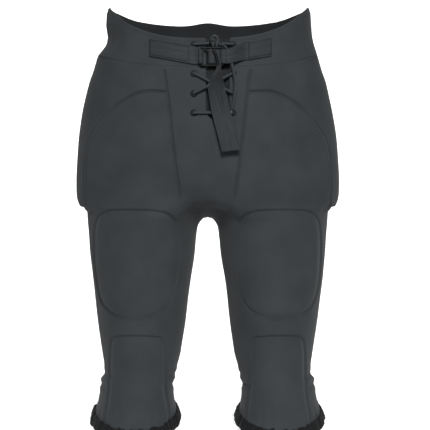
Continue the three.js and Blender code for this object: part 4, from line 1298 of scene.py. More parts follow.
@dataclass
class Layers:
    """Foam pads, their pockets, the elastics and the facings, each laid under the shell."""

    shell: Shell
    finishes: Finishes
    seam_room: float = 3.0  # from a seam to the foam beside it
    pocket_margin: float = 7.0
    under_knit: float = 2.3
    play: float = 0.4
    foam_edge: float = 9.0
    foam_rim: float = 2.4
    cell: float = 24.0
    cell_depth: float = 1.3
    pocket_cloth: float = 0.8
    facing_right: float = 26.0
    facing_left: float = 18.0
    facing_top: float = -37.0
    facing_depth: float = 2.5
    tongue_beside: float = 10.5  # how far the tongue reaches past each edge of the fly
    tongue_below: float = 8.0
    tongue_depth: float = 4.2
    tape_half: float = 150.0

    def region(self, outline: Array, plane: Plane, side: int) -> tuple[Array, Array, Array, Array]:
        """The part of the bare surface inside an outline.

        Args:
            outline: places in X and Z, or in Y and Z for the side.
            plane: the plane that it is drawn in.
            side: 1 for the left, -1 for the right and 0 for both.

        Returns:
            Points, normals, triangles and depth inside the outline.
        """
        cloth = self.shell.bare.copy()
        axes = [1, 2] if plane is Plane.SIDE else [0, 2]
        half = {Plane.FRONT: Half.FRONT, Plane.BACK: Half.BACK, Plane.SIDE: Half.BOTH}[plane]
        fold = np.array([side or 1, 1, 1]) if plane is not Plane.SIDE else np.ones(3)
        cloth.cut(signed_distance((cloth.points * fold)[:, axes], outline), 0, half)
        centre = cloth.centres()
        chosen = (signed_distance((centre * fold)[:, axes], outline) < 0) & cloth.scope(half)
        if side:
            chosen &= centre[:, 0] * side > (100 if plane is Plane.SIDE else 0)
        normals = normals_of(cloth.points, cloth.faces)
        used, _, faces = cloth.part(chosen)
        points = cloth.points[used]
        inside = -signed_distance((points * fold)[:, axes], outline)
        return points, normals[used], faces, inside

    def slab(
        self, name: str, points: Array, normals: Array, faces: Array, top: Array, thick: Array
    ) -> bpy.types.Object:
        """A closed layer between two depths under the surface."""
        outer = points + normals * top[:, None]
        inner = points + normals * (top - thick)[:, None]
        count = len(points)
        edges = np.vstack([faces[:, [0, 1]], faces[:, [1, 2]], faces[:, [2, 0]]])
        _, where, uses = np.unique(np.sort(edges, axis=1), axis=0, return_inverse=True, return_counts=True)
        i, j = edges[uses[where.ravel()] == 1].T
        rim = np.vstack([np.stack([j, i, i + count], 1), np.stack([j, i + count, j + count], 1)])
        uv = self.shell.weave_uv(points)
        made = make_object(
            name, np.vstack([outer, inner]) * MM, np.vstack([faces, faces[:, ::-1] + count, rim]),
            np.vstack([uv, uv]),
        )
        return made

    def under_shell(self, points: Array, depth: float) -> Array:
        """Height over the bare surface of a layer that lies this far under the cloth's outer face."""
        return np.minimum(self.shell.height(points), self.shell.pad_rise) - depth

    def foam_profile(self, inside: Array, thick: float) -> Array:
        """Thickness of a pad: thin and round at its edge, full inside."""
        t = np.clip(inside / self.foam_edge, 0, 1)
        return self.foam_rim + (thick - self.foam_rim) * np.sqrt(1 - (1 - t) ** 2)

    def pad(self, name: str, pocket: str, outline: Outline, plane: Plane, side: int, thick: float) -> None:
        """A foam pad with moulded cells on its inner face, and the mesh pocket that holds it."""
        line = Shell.smooth_outline(outline)
        points, normals, faces, inside = self.region(self.grown(line, -self.seam_room), plane, side)
        across = points[:, 1] if plane is Plane.SIDE else points[:, 0]
        cells = np.maximum(
            np.abs(np.cos(math.pi * across / self.cell)) ** 6,
            np.abs(np.cos(math.pi * points[:, 2] / self.cell)) ** 6,
        )
        body = self.foam_profile(inside, thick) - self.cell_depth * cells * smoothstep(inside / 14)
        foam = self.slab(
            name + "_foam", points, normals, faces, self.under_shell(points, self.under_knit), body
        )
        finish_piece(foam, "root", "foam", self.finishes.foam, name)

        reach = self.pocket_margin
        points, normals, faces, inside = self.region(self.grown(line, reach), plane, side)
        over = inside - reach - self.seam_room + 2
        drop = np.where(over > 0, self.foam_profile(np.maximum(over, 0), thick) + self.play, 0)
        rise = smoothstep(inside / (reach + self.seam_room))
        top = self.under_shell(points, self.under_knit) - np.maximum(drop, rise * (self.foam_rim + self.play))
        lining = self.slab(
            pocket + "_lining", points, normals, faces, top - 0.2, np.full(len(points), self.pocket_cloth)
        )
        finish_piece(lining, "root", "lining", self.finishes.lining, pocket)
        self.declare(points)

    @staticmethod
    def grown(outline: Array, distance: float) -> Array:
        """An outline moved outwards, or inwards where the distance is negative."""
        run = np.roll(outline, -1, axis=0) - np.roll(outline, 1, axis=0)
        run /= np.linalg.norm(run, axis=1)[:, None]
        turn = np.stack([run[:, 1], -run[:, 0]], axis=1)
        x, z = outline.T
        area = (x * np.roll(z, -1) - np.roll(x, -1) * z).sum()
        return outline + turn * distance * np.sign(area)

    def declare(self, points: Array) -> None:
        """Measures how far a lining's cloth coordinates spread, and keeps nothing of it."""
        spread = np.ptp(self.shell.weave_uv(points), axis=0)

    def facing(
        self, name: str, node: str, box: tuple[float, float, float, float], plane: Plane, depth: float,
        thick: float, finish: bpy.types.Material, slot: str,
    ) -> None:
        """A flat facing or tape under the shell, given as X from, X to, Z from and Z to."""
        x0, x1, z0, z1 = box
        outline = np.array([(x0, z0), (x1, z0), (x1, z1), (x0, z1)], float)
        points, normals, faces, _ = self.region(outline, plane, 0)
        top = self.shell.side_shape(points) - depth
        piece = self.slab(name, points, normals, faces, top, np.full(len(points), thick))
        finish_piece(piece, "root", slot, finish, node)
        self.declare(
            points
        )

    def build(self) -> None:
        """Makes every layer under the shell."""
        s, f = self.shell.seams, self.finishes
        for side, end in ((1, "left"), (-1, "right")):
            self.pad(f"thigh_pad_{end}", f"thigh_pocket_{end}", s.thigh, Plane.FRONT, side, 12)
            self.pad(f"knee_pad_{end}", f"knee_pocket_{end}", s.knee_foam, Plane.FRONT, side, 10)
            self.pad(f"hip_pad_{end}", f"hip_pocket_{end}", s.hip, Plane.SIDE, side, 11)
        self.pad("tailbone_pad", "tailbone_pocket", s.tailbone, Plane.BACK, 0, 10)
        self.facing(
            "waist_elastic_tape", "waist_elastic", (-self.tape_half, self.tape_half, -48, -12),
            Plane.BACK, 2.4, 1.2, f.elastic, "elastic"
        )
        left, right = s.fly_middle - s.fly_half, s.fly_middle + s.fly_half
        beside = {"right": (left - self.facing_right, left), "left": (right, right + self.facing_left)}
        for end, span in beside.items():
            self.facing(
                f"fly_facing_{end}", f"fly_placket_{end}", (*span, s.fly_foot, self.facing_top),
                Plane.FRONT, self.facing_depth, 1.1, f.lining, "lining"
            )
        tongue = (
            left - self.tongue_beside, right + self.tongue_beside, s.fly_foot - self.tongue_below,
            self.facing_top,
        )
        self.facing(
            "fly_tongue_cloth", "fly_tongue", tongue, Plane.FRONT, self.tongue_depth, 1.4, f.lining, "lining"
        )


# ---- Tubes, ribbons and rings -------------------------------------------------------------------------
def outward(points: Array, faces: Array) -> Array:
    """The faces of a closed shape, turned so that they point outwards."""
    a, b, c = points[faces[:, 0]], points[faces[:, 1]], points[faces[:, 2]]
    volume = (a * np.cross(b, c)).sum()
    if faces.shape[1] == 4:
        volume += (a * np.cross(c, points[faces[:, 3]])).sum()
    return faces if volume > 0 else faces[:, ::-1]


def frames(path: Array, first: Array) -> tuple[Array, Array, Array]:
    """Directions along a path, and two across it that turn as little as they can."""
    along = np.gradient(path, axis=0)
    along /= np.linalg.norm(along, axis=1)[:, None]
    side = np.empty_like(path)
    now = np.asarray(first, float)
    for i, t in enumerate(along):
        now = now - t * (now @ t)
        now /= np.linalg.norm(now)
        side[i] = now
    return along, side, np.cross(along, side)


def tube(
    path: Array, radius: Array | float, sides: int = 16, plait: float = 0.0, ply: float = 7.0,
    flat: float = 1.0, first: tuple[float, float, float] = (1.0, 0.0, 0.0),
) -> tuple[Array, Array, Array]:
    """A closed tube along a path.

    Args:
        path: places in millimetres.
        radius: one radius, or one for each place.
        sides: points round the tube.
        plait: depth of the braid's diamonds, as a share of the radius.
        ply: length along the tube in which a strand turns once.
        flat: thickness of the section as a share of its width.
        first: a direction across the path at its start.

    Returns:
        Points in millimetres, quads and cloth coordinates in metres.
    """
    _, side, up = frames(path, np.array(first))
    length = np.concatenate([[0], np.cumsum(np.linalg.norm(np.diff(path, axis=0), axis=1))])
    turn = np.linspace(0, 2 * math.pi, sides, endpoint=False)
    twist = 2 * math.pi * length[:, None] / ply
    relief = 1 + plait * np.maximum(np.cos(4 * (turn + twist / 4)), np.cos(4 * (turn - twist / 4)))
    r = np.broadcast_to(np.asarray(radius, float), (len(path),))[:, None] * relief
    points = (
        path[:, None]
        + side[:, None] * (r * np.cos(turn))[..., None]
        + up[:, None] * (r * flat * np.sin(turn))[..., None]
    ).reshape(-1, 3)
    uv = np.stack(
        np.broadcast_arrays(length[:, None], (turn * np.mean(r))[None]), axis=-1
    ).reshape(-1, 2) * MM
    return points, outward(points, capped(len(path), sides)), uv


def ribbon(
    centres: Array, across: Array, half: Array | float, thick: float, lines: tuple[float, ...] = (0.0,),
    groove: float = 0.3, columns: int = 22,
) -> tuple[Array, Array, Array]:
    """A closed strip of webbing along a path.

    Args:
        centres: places on its middle in millimetres.
        across: its direction across at each place.
        half: its half width, one or one for each place.
        thick: its thickness.
        lines: shares of the half width where a sewn line sinks in.
        groove: depth of a sewn line.
        columns: points across one face.

    Returns:
        Points in millimetres, quads and cloth coordinates in metres.
    """
    across = np.asarray(across, float)
    across = across / np.linalg.norm(across, axis=1)[:, None]
    along = np.gradient(centres, axis=0)
    out = np.cross(along, across)
    out /= np.linalg.norm(out, axis=1)[:, None]
    v = np.linspace(-1, 1, columns)
    edge = 0.45 + 0.55 * np.sqrt(np.clip(1 - np.clip((np.abs(v) - 0.86) / 0.14, 0, 1) ** 2, 0, 1))
    sunk = sum(np.exp(-(((v - line) / 0.07) ** 2)) for line in lines) if lines else 0 * v
    lift = np.concatenate([thick / 2 * edge - groove * sunk, -(thick / 2 * edge - groove * sunk)[::-1]])
    place = np.concatenate([v, v[::-1]])
    width = np.broadcast_to(np.asarray(half, float), (len(centres),))[:, None, None]
    points = centres[:, None] + across[:, None] * place[:, None] * width + out[:, None] * lift[:, None]
    length = np.concatenate([[0], np.cumsum(np.linalg.norm(np.diff(centres, axis=0), axis=1))])
    uv = np.stack(
        [np.broadcast_to(length[:, None], (len(centres), 2 * columns)), place * width[..., 0]], axis=-1
    )
    points = points.reshape(-1, 3)
    return points, outward(points, capped(len(centres), 2 * columns)), uv.reshape(-1, 2) * MM


def rounded_path(points: Array, radius: float, spacing: float) -> Array:
    """A path whose corners are cut round, evenly spaced."""
    given = np.asarray(points, float)
    path = [given[0]]
    for before, here, after in zip(given[:-2], given[1:-1], given[2:]):
        for end in (before, after):
            run = end - here
            far = np.linalg.norm(run)
            path.append(here + run / far * min(radius, far * 0.48))
            if end is before:
                path.append(here)
    path = np.array([*path, given[-1]])
    for _ in range(3):
        q, r = 0.75 * path[:-1] + 0.25 * path[1:], 0.25 * path[:-1] + 0.75 * path[1:]
        path = np.vstack([path[:1], np.stack([q, r], 1).reshape(-1, 3), path[-1:]])
    along = np.concatenate([[0], np.cumsum(np.linalg.norm(np.diff(path, axis=0), axis=1))])
    wanted = np.linspace(0, along[-1], max(int(along[-1] / spacing), 8))
    return np.stack([np.interp(wanted, along, path[:, k]) for k in range(3)], axis=1)


def tube_object(name: str, shape: tuple[Array, Array, Array]) -> bpy.types.Object:
    """An object from a shape in millimetres."""
    points, faces, uv = shape
    return make_object(name, points * MM, faces, uv)


# ---- Laced fly ----------------------------------------------------------------------------------------
@dataclass
class LacedFly:
    """Eyelets, the crossed lace, its knot and its two free ends."""

    form: BodyForm
    finishes: Finishes
    middle: float = 9
    spread: float = 29
    rows: tuple[float, ...] = (-43, -87, -117, -146)
    bore: float = 2.3
    barrel: float = 3.0
    flange: float = 5.2
    rim: float = 1.3
    back: float = 4.75
    lace_radius: float = 2.15
    end_radius: float = 2.9  # the ends hang free and lie flatter
    over: float = 3.6
    under: float = 7.65
    knot_scale: float = 1.22
    tip_length: float = 14
    knot: tuple[float, float, float] = (12, -102.236, -39.5)
    left_end: tuple[tuple[float, float, float], ...] = (
        (18.6, -106.4, -43.8), (23, -105.4, -44.8), (28.2, -104.8, -49.5), (31.5, -105.2, -56),
        (33.5, -106, -62), (35, -106.6, -68), (36.4, -107.8, -75), (38.3, -110.4, -83), (40, -113, -91),
        (41.2, -115.2, -100), (41, -117.4, -111), (39.8, -118.4, -122), (38, -119.2, -132), (36, -120, -142),
    )
    right_end: tuple[tuple[float, float, float], ...] = (
        (13, -102.6, -46.6), (13.6, -102.6, -52), (14.4, -102.6, -58), (15.2, -103, -66), (15.8, -103.8, -76),
        (16.2, -104.8, -86), (16.6, -105.8, -96), (17, -106.8, -106), (17.2, -107.8, -117),
        (17.2, -108.6, -128),
    )

    def build_ends(self) -> None:
        """The two free ends of the lace, each with its tip."""
        for end, route in (("left", self.left_end), ("right", self.right_end)):
            path = spline(np.array(route, float), 160)
            taper = np.clip(np.arange(len(path))[::-1] / 14, 0, 1)
            thick = 1.9 + (self.end_radius - 1.9) * taper * np.clip(0.4 + np.arange(len(path)) / 20, 0, 1)
            piece = tube_object(f"lace_end_{end}", tube(path, thick, 20, 0.05, 7.0, 0.62))
            along = path[-1] - path[-2]
            along /= np.linalg.norm(along)
            places = path[-1] + along * np.linspace(0.35, self.tip_length, 24)[:, None]
            t = np.linspace(0, 1, 24)
            shape = 1.8 * (1 - 0.35 * np.clip((np.abs(t - 0.5) - 0.4) / 0.1, 0, 1) ** 2) - 0.25 * np.exp(
                -(((t - 0.16) / 0.04) ** 2)
            )
            tip = tube_object(f"lace_tip_{end}", tube(places, shape, 20))
            finish_piece(tip, "root", "tip", self.finishes.tip, f"lace_aglet_{end}")
            finish_piece(piece, "root", "lace", self.finishes.lace, f"lace_tail_{end}")

    def seat(self, side: int, row: int) -> tuple[Array, Array]:
        """Place and outward direction of an eyelet."""
        x, z, step = self.middle + side * self.spread, self.rows[row], 4.0
        y = self.form.depth_at([x, x, x, x - step, x + step], [z, z + step, z - step, z, z])
        rise = np.array([0, y[1] - y[2], 2 * step])
        across = np.array([2 * step, y[4] - y[3], 0])
        out = np.cross(across, rise)
        return np.array([x, y[0], z]), out / np.linalg.norm(out)

    def build_eyelets(self) -> None:
        """Eyelets with a rolled face and a barrel that goes through the cloth."""
        rolled = [
            (self.bore, -self.back), (self.bore, 0.2), (self.bore + 0.25, self.rim - 0.2),
            (self.bore + 0.8, self.rim), (self.flange - 0.9, self.rim - 0.1),
            (self.flange - 0.25, self.rim - 0.45),
            (self.flange, 0.55), (self.flange - 0.3, 0.35), (self.barrel + 0.2, 0.35), (self.barrel, 0.0),
            (self.barrel, -self.back),
        ]
        turn = np.linspace(0, 2 * math.pi, 36, endpoint=False)
        for side, end in ((1, "left"), (-1, "right")):
            for row in range(len(self.rows)):
                place, out = self.seat(side, row)
                first = np.cross(out, [0, 0, 1.0])
                first /= np.linalg.norm(first)
                second = np.cross(out, first)
                ring = np.cos(turn)[:, None] * first + np.sin(turn)[:, None] * second
                points = np.array([place + out * h + ring * r for r, h in rolled]).reshape(-1, 3)
                count = len(rolled)
                quads = np.vstack([
                    grid_faces(count, len(turn), True),
                    np.stack([
                        (count - 1) * 36 + np.arange(36), np.arange(36), (np.arange(36) + 1) % 36,
                        (count - 1) * 36 + (np.arange(36) + 1) % 36,
                    ], axis=1),
                ])
                name = f"eyelet_{end}_{row + 1}"
                piece = make_object(name + "_ring", points * MM, outward(points, quads), points[:, :2] * MM)
                finish_piece(piece, "root", "metal", self.finishes.metal, name)

    def passing(self, side: int, row: int, outwards: bool) -> list[Array]:
        """Places of the lace as it goes through an eyelet."""
        place, out = self.seat(side, row)
        places = [place + out * self.over, place - out * self.under]
        return places[::-1] if outwards else places

    def crossing(self, lift: float) -> Array:
        """Where the lace crosses the middle of the fly, this far off the surface."""
        z = (self.rows[1] + self.rows[2]) / 2
        return np.array([self.middle, float(self.form.depth_at(self.middle, z)) - lift, z])

    def build_lace(self) -> None:
        """The crossed lace through all the eyelets, and the knot that closes it."""
        side_of_knot = [np.array([self.knot[0] + s * 9.35, self.knot[1], self.knot[2] - 2]) for s in (-1, 1)]
        thick = 2 * self.lace_radius + 0.6
        route = [
            side_of_knot[0], *self.passing(-1, 0, False), *self.passing(-1, 1, True),
            self.crossing(self.over),
            *self.passing(1, 2, False), *self.passing(1, 3, True), *self.passing(-1, 3, False),
            *self.passing(-1, 2, True), self.crossing(self.over + thick), *self.passing(1, 1, False),
            *self.passing(1, 0, True), side_of_knot[1],
        ]
        path = rounded_path(np.array(route), 2.4, 0.8)
        piece = tube_object("lace_crossed", tube(path, self.lace_radius, 16, 0.06))
        finish_piece(piece, "root", "lace", self.finishes.lace, "lace_main")

        x, y, z = self.knot
        turn = np.linspace(0, 2 * math.pi, 150, endpoint=False)
        body = np.stack([
            x - 1.0 + 2.3 * (np.sin(turn) + 1.6 * np.sin(2 * turn)),
            y - 0.6 - 1.7 * np.sin(3 * turn),
            z - 0.6 + 2.2 * (np.cos(turn) - 1.6 * np.cos(2 * turn)),
        ], axis=1)
        loop = spline(np.array([
            (x - 1, y + 0.2, z - 1), (x - 4.6, y - 1, z + 1.6), (x - 4.4, y - 2.4, z + 5.2),
            (x - 1.4, y - 3, z + 7.2),
            (x + 1.8, y - 2.8, z + 6), (x + 2.6, y - 2.6, z + 2.4), (x + 1.6, y - 3.0, z - 3),
            (x + 2.2, y - 2.6, z - 7),
        ], float), 70)
        left = spline(np.array([
            (x + 1, y, z), (x + 4, y - 2.4, z - 1.6), (x + 6.6, y - 4.2, z - 4.3),
        ], float), 16)
        body = np.vstack([body, body[:1]])
        shapes = [tube(body, 1.55, 14, 0.05), tube(loop, 1.6, 14, 0.05), tube(left, 1.6, 14, 0.05)]
        points, faces, uv = joined(shapes)
        points = np.array(self.knot) + (points - self.knot) * self.knot_scale
        piece = make_object("lace_knot_tied", points * MM, faces, uv)
        finish_piece(piece, "root", "lace", self.finishes.lace, "lace_knot")


# ---- Belt ---------------------------------------------------------------------------------------------
@dataclass
class Belt:
    """Two webbing straps that meet at a wire buckle, and the hanging end."""

    form: BodyForm
    finishes: Finishes
    webbing: float = 1.8
    width: float = 28
    bar: float = 1.8
    play: float = 0.6
    buckle_x: tuple[float, float, float] = (-10, 5, 24)
    buckle_z: tuple[float, float] = (-75, -49)
    lay: float = 0.75  # the strap's back lies this far off the waistband
    buckle_y: float = field(init=False)

    def __post_init__(self) -> None:
        """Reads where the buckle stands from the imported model."""
        low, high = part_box("belt_buckle")
        self.buckle_y = (low.y + high.y) / 2 / MM

    def edges(self, x: Array, top: Array, bottom: Array, lift: float) -> tuple[Array, Array]:
        """Middles and across directions of a strap that lies on the waistband."""
        ends = [np.stack([x, self.form.depth_at(x, z) - lift, z], axis=1) for z in (bottom, top)]
        return (ends[0] + ends[1]) / 2, ends[1] - ends[0]

    def row(self, name: str, lines: list[tuple[Array, Array]], body: str) -> None:
        """Sews rows of dark stitches, each given as places and outward directions."""
        points = np.vstack([p for p, _ in lines])
        normals = np.vstack([n for _, n in lines])
        pairs, start = [], 0
        for places, _ in lines:
            i = np.arange(start, start + len(places) - 1)
            pairs.append(np.stack([i, i + 1], axis=1))
            start += len(places)
        StitchRow(name, 3.0, 2.4, 0.5, self.finishes.belt_thread).sew(
            points, normals, np.vstack(pairs), body, "webbing"
        )

    def box_stitch(self, centres: Array, across: Array, first: int, last: int) -> list[tuple[Array, Array]]:
        """A sewn box with its two long sides and its two short ones, on the strap's outer face."""
        unit = across / np.linalg.norm(across, axis=1)[:, None]
        out = np.cross(np.gradient(centres, axis=0), unit)
        out /= np.linalg.norm(out, axis=1)[:, None]
        out = np.where(out[:, 1:2] > 0, -out, out)
        half = np.linalg.norm(across, axis=1)[:, None] / 2 - 3.0
        face = centres + out * (self.webbing / 2 + 0.1)
        chosen = slice(first, last)
        lines = [((face + sign * unit * half)[chosen], out[chosen]) for sign in (-1, 1)]
        for k in (first, last - 1):
            t = np.linspace(-1, 1, 12)[:, None]
            lines.append((face[k] + unit[k] * half[k] * t, np.repeat(out[k : k + 1], 12, axis=0)))
        return lines

    def fold_arc(self, x: float, start: float, end: float, count: int = 18) -> Array:
        """Places in X and Y of webbing turned round an upright bar."""
        turn = np.radians(np.linspace(start, end, count))
        r = self.bar + self.play + self.webbing / 2
        return np.stack([x + r * np.cos(turn), self.buckle_y + r * np.sin(turn)], axis=1)

    def strap_right(self) -> None:
        """The sewn strap on the wearer's right, folded round the end bar and sewn down on itself."""
        x = np.linspace(-87, -19, 60)
        top = -32 - 14 * (x + 87) / 70
        centres, across = self.edges(x, top, top - self.width, self.lay + self.webbing / 2)
        arc = self.fold_arc(self.buckle_x[0], 90, -95)
        front_y = centres[-1, 1] - self.webbing - 0.2
        back = np.array(
            [[-12, self.buckle_y - 3.2], [-13.6, front_y - 0.8], [-15, front_y - 0.2], [-16.6, front_y]]
        )
        plan = spline(np.vstack([arc, back]), 46)
        low, high = self.buckle_z[0] + self.bar + 0.5, self.buckle_z[1] - self.bar - 0.5
        share = np.concatenate([np.zeros(26), smoothstep(np.linspace(0, 1, 20))])
        lower = low * (1 - share) + (top[-1] - self.width + 1.5) * share
        upper = high * (1 - share) + (top[-1] - 1.5) * share
        middle = np.column_stack([plan, (lower + upper) / 2])
        reach = np.column_stack([np.zeros((46, 2)), upper - lower])
        all_centres, all_across = np.vstack([centres, middle]), np.vstack([across, reach])
        # The fold carries small bumps where the webbing is gathered between the rails.
        bumps = np.zeros(len(all_centres))
        bumps[60:86] = 0.25 * np.sin(np.arange(26) * 1.9)
        half = np.linalg.norm(all_across, axis=1) / 2 + bumps
        piece = tube_object(
            "belt_strap_right_webbing",
            ribbon(all_centres, all_across, half, self.webbing, (-0.79, 0.0, 0.79), 0.4)
        )
        finish_piece(piece, "root", "webbing", self.finishes.webbing, "belt_strap_right")
        self.row("belt_stitches_right", self.box_stitch(centres, across, 1, 52), "root")

    def strap_left(self) -> None:
        """The strap that is sewn to the waistband on the wearer's left."""
        x = np.linspace(62, 96.5, 34)
        top = -38 + 7 * (x - 62) / 34
        centres, across = self.edges(x, top, top - self.width, self.lay + self.webbing / 2)
        half = np.linalg.norm(across, axis=1) / 2
        shape = ribbon(centres, across, half, self.webbing, (-0.79, 0.0, 0.79), 0.4)
        piece = tube_object("belt_strap_left_webbing", shape)
        finish_piece(piece, "root", "webbing", self.finishes.webbing, "belt_strap_left")
        self.row("belt_stitches_left", self.box_stitch(centres, across, 1, 33), "root")

    def span(self) -> None:
        """The free length between the buckle and the sewn strap, one fixed shape that eases from the buckle
        to the strap.
        """
        start_x, end_x = self.buckle_x[2] + 4.1, 61.98
        low, high = self.buckle_z[0] + self.bar + 0.5, self.buckle_z[1] - self.bar - 0.5
        wrap_y = self.buckle_y - self.bar - self.play - self.webbing / 2
        t = np.linspace(0, 1, 40)
        ease = smoothstep(t * 1.05)
        x = start_x + (end_x - start_x) * t
        top = high + (-38 - high) * ease
        bottom = low + (-38 - self.width - low) * ease
        band = self.form.depth_at(x, (top + bottom) / 2) - self.lay - self.webbing / 2
        y = wrap_y * (1 - ease) + band * ease
        ends = self.edges(
            np.array([end_x]), np.array([-38.0]), np.array([-38.0 - self.width]), self.lay + self.webbing / 2
        )
        lean = ends[1][0][1] * ease
        centres = np.column_stack([x, y, (top + bottom) / 2])
        across = np.column_stack([0 * x, lean, top - bottom])
        piece = tube_object(
            "belt_span_webbing",
            ribbon(
                centres, across, np.linalg.norm(across, axis=1) / 2, self.webbing, (-0.79, 0.0, 0.79), 0.4
            ),
        )
        piece.data.materials.append(self.finishes.webbing)
        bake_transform(piece)
        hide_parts("belt_span_left")
        LOG.info("%s bends between buckle and root", piece.name)

    def wrap(self) -> None:
        """The webbing over the end bar, into the window and round the centre bar."""
        front = self.buckle_y - self.bar - self.play - self.webbing / 2
        plan = np.vstack([
            [(self.buckle_x[2] + 4, front), (self.buckle_x[2] + 1, front),
             (self.buckle_x[2] - 2.5, front + 0.5),
             (self.buckle_x[2] - 6, front + 2.6), (self.buckle_x[1] + 8, front + 2.6),
             (self.buckle_x[1] + 4.2, front + 0.6)],
            self.fold_arc(self.buckle_x[1], -75, -270, 12),
            [(self.buckle_x[1] + 4, self.buckle_y + 3.4)],
        ])
        plan = spline(plan, 80)
        low, high = self.buckle_z[0] + self.bar + 0.5, self.buckle_z[1] - self.bar - 0.5
        centres = np.column_stack([plan, np.full(80, (low + high) / 2)])
        across = np.tile([0, 0, high - low], (80, 1))
        piece = tube_object("belt_wrap_webbing", ribbon(centres, across, (high - low) / 2, self.webbing))
        finish_piece(piece, "buckle", "webbing", self.finishes.webbing, "belt_wrap")

    def buckle(self) -> None:
        """The wire buckle: a frame with round corners and a centre bar, all of one wire."""
        left, middle, right = self.buckle_x
        low, high = self.buckle_z
        corner = 3.0
        turn = np.radians(np.linspace(0, 90, 10))
        ring = []
        for cx, cz, at in (
            (right - corner, high - corner, 0), (left + corner, high - corner, 90),
            (left + corner, low + corner, 180), (right - corner, low + corner, 270),
        ):
            angle = turn + math.radians(at)
            ring.append(np.stack(
                [cx + corner * np.cos(angle), 0 * angle + self.buckle_y, cz + corner * np.sin(angle)], 1
            ))
        path = spline(np.vstack(ring), 150, True)
        along = np.roll(path, -1, axis=0) - np.roll(path, 1, axis=0)
        along /= np.linalg.norm(along, axis=1)[:, None]
        side = np.cross(along, [0, 1.0, 0])
        turn = np.linspace(0, 2 * math.pi, 20, endpoint=False)
        across = side[:, None] * np.cos(turn)[None, :, None]
        section = across + np.array([0, 1.0, 0]) * np.sin(turn)[None, :, None]
        points = (path[:, None] + self.bar * section).reshape(-1, 3)
        rows = np.arange(150)
        r, c = np.meshgrid(rows, np.arange(20), indexing="ij")
        quads = np.stack([
            r * 20 + c, (r + 1) % 150 * 20 + c, (r + 1) % 150 * 20 + (c + 1) % 20, r * 20 + (c + 1) % 20,
        ], axis=-1).reshape(-1, 4)
        frame = (points, outward(points, quads), points[:, [0, 2]] * MM)
        bars = []
        path = np.stack([np.full(30, middle), np.full(30, self.buckle_y), np.linspace(low, high, 30)], axis=1)
        bars.append(tube(path, self.bar, 20))
        points, faces, uv = joined([frame, *bars])
        piece = make_object("belt_buckle_wire", points * MM, faces, uv)
        finish_piece(piece, "buckle", "metal", self.finishes.metal, "belt_buckle")

    def tail(self) -> None:
        """The hanging end: turned edge-on where it leaves the buckle, flat and full width lower down."""
        back = self.buckle_y - self.bar - self.play - self.webbing - 1.0
        # Each station: X of the right edge, height, half width, how far it is turned, and room behind the
        # left edge.
        stations = np.array([
            (12.6, -51.6, 4.5, 58, 0), (15.4, -60, 6.2, 76, 0), (18.9, -72.7, 9.6, 81, 0),
            (20.2, -82, 12.2, 76, 0.4),
            (21.3, -90, 13.4, 65, 0.8), (24.0, -102.4, 14.0, 42, 1.6), (28.6, -122, 14.0, 26, 4.0),
            (35.0, -147, 14.1, 9, 7.0), (42.0, -172, 14.2, 3, 9.0), (49.6, -201.6, 14.2, 0, 10.5),
        ])
        path = spline(stations, 120)
        edge_x, z, half, turned, room = path.T
        angle = np.radians(turned)
        across = np.column_stack([np.cos(angle), -np.sin(angle) * 0.75, 0.12 * np.cos(angle)])
        across /= np.linalg.norm(across, axis=1)[:, None]
        edge = np.column_stack([edge_x, back - room + 2 * half * across[:, 1], z])
        centres = edge - across * half[:, None]
        piece = tube_object(
            "belt_tail_webbing", ribbon(centres, across, half, self.webbing, (-0.8, 0.0, 0.8), 0.22)
        )
        finish_piece(piece, "tail", "webbing", self.finishes.webbing, "belt_tail")

    def build(self) -> None:
        """Makes every piece of the belt."""
        self.strap_right()
        self.strap_left()
        self.buckle()
        self.wrap()
        self.span()
        self.tail()


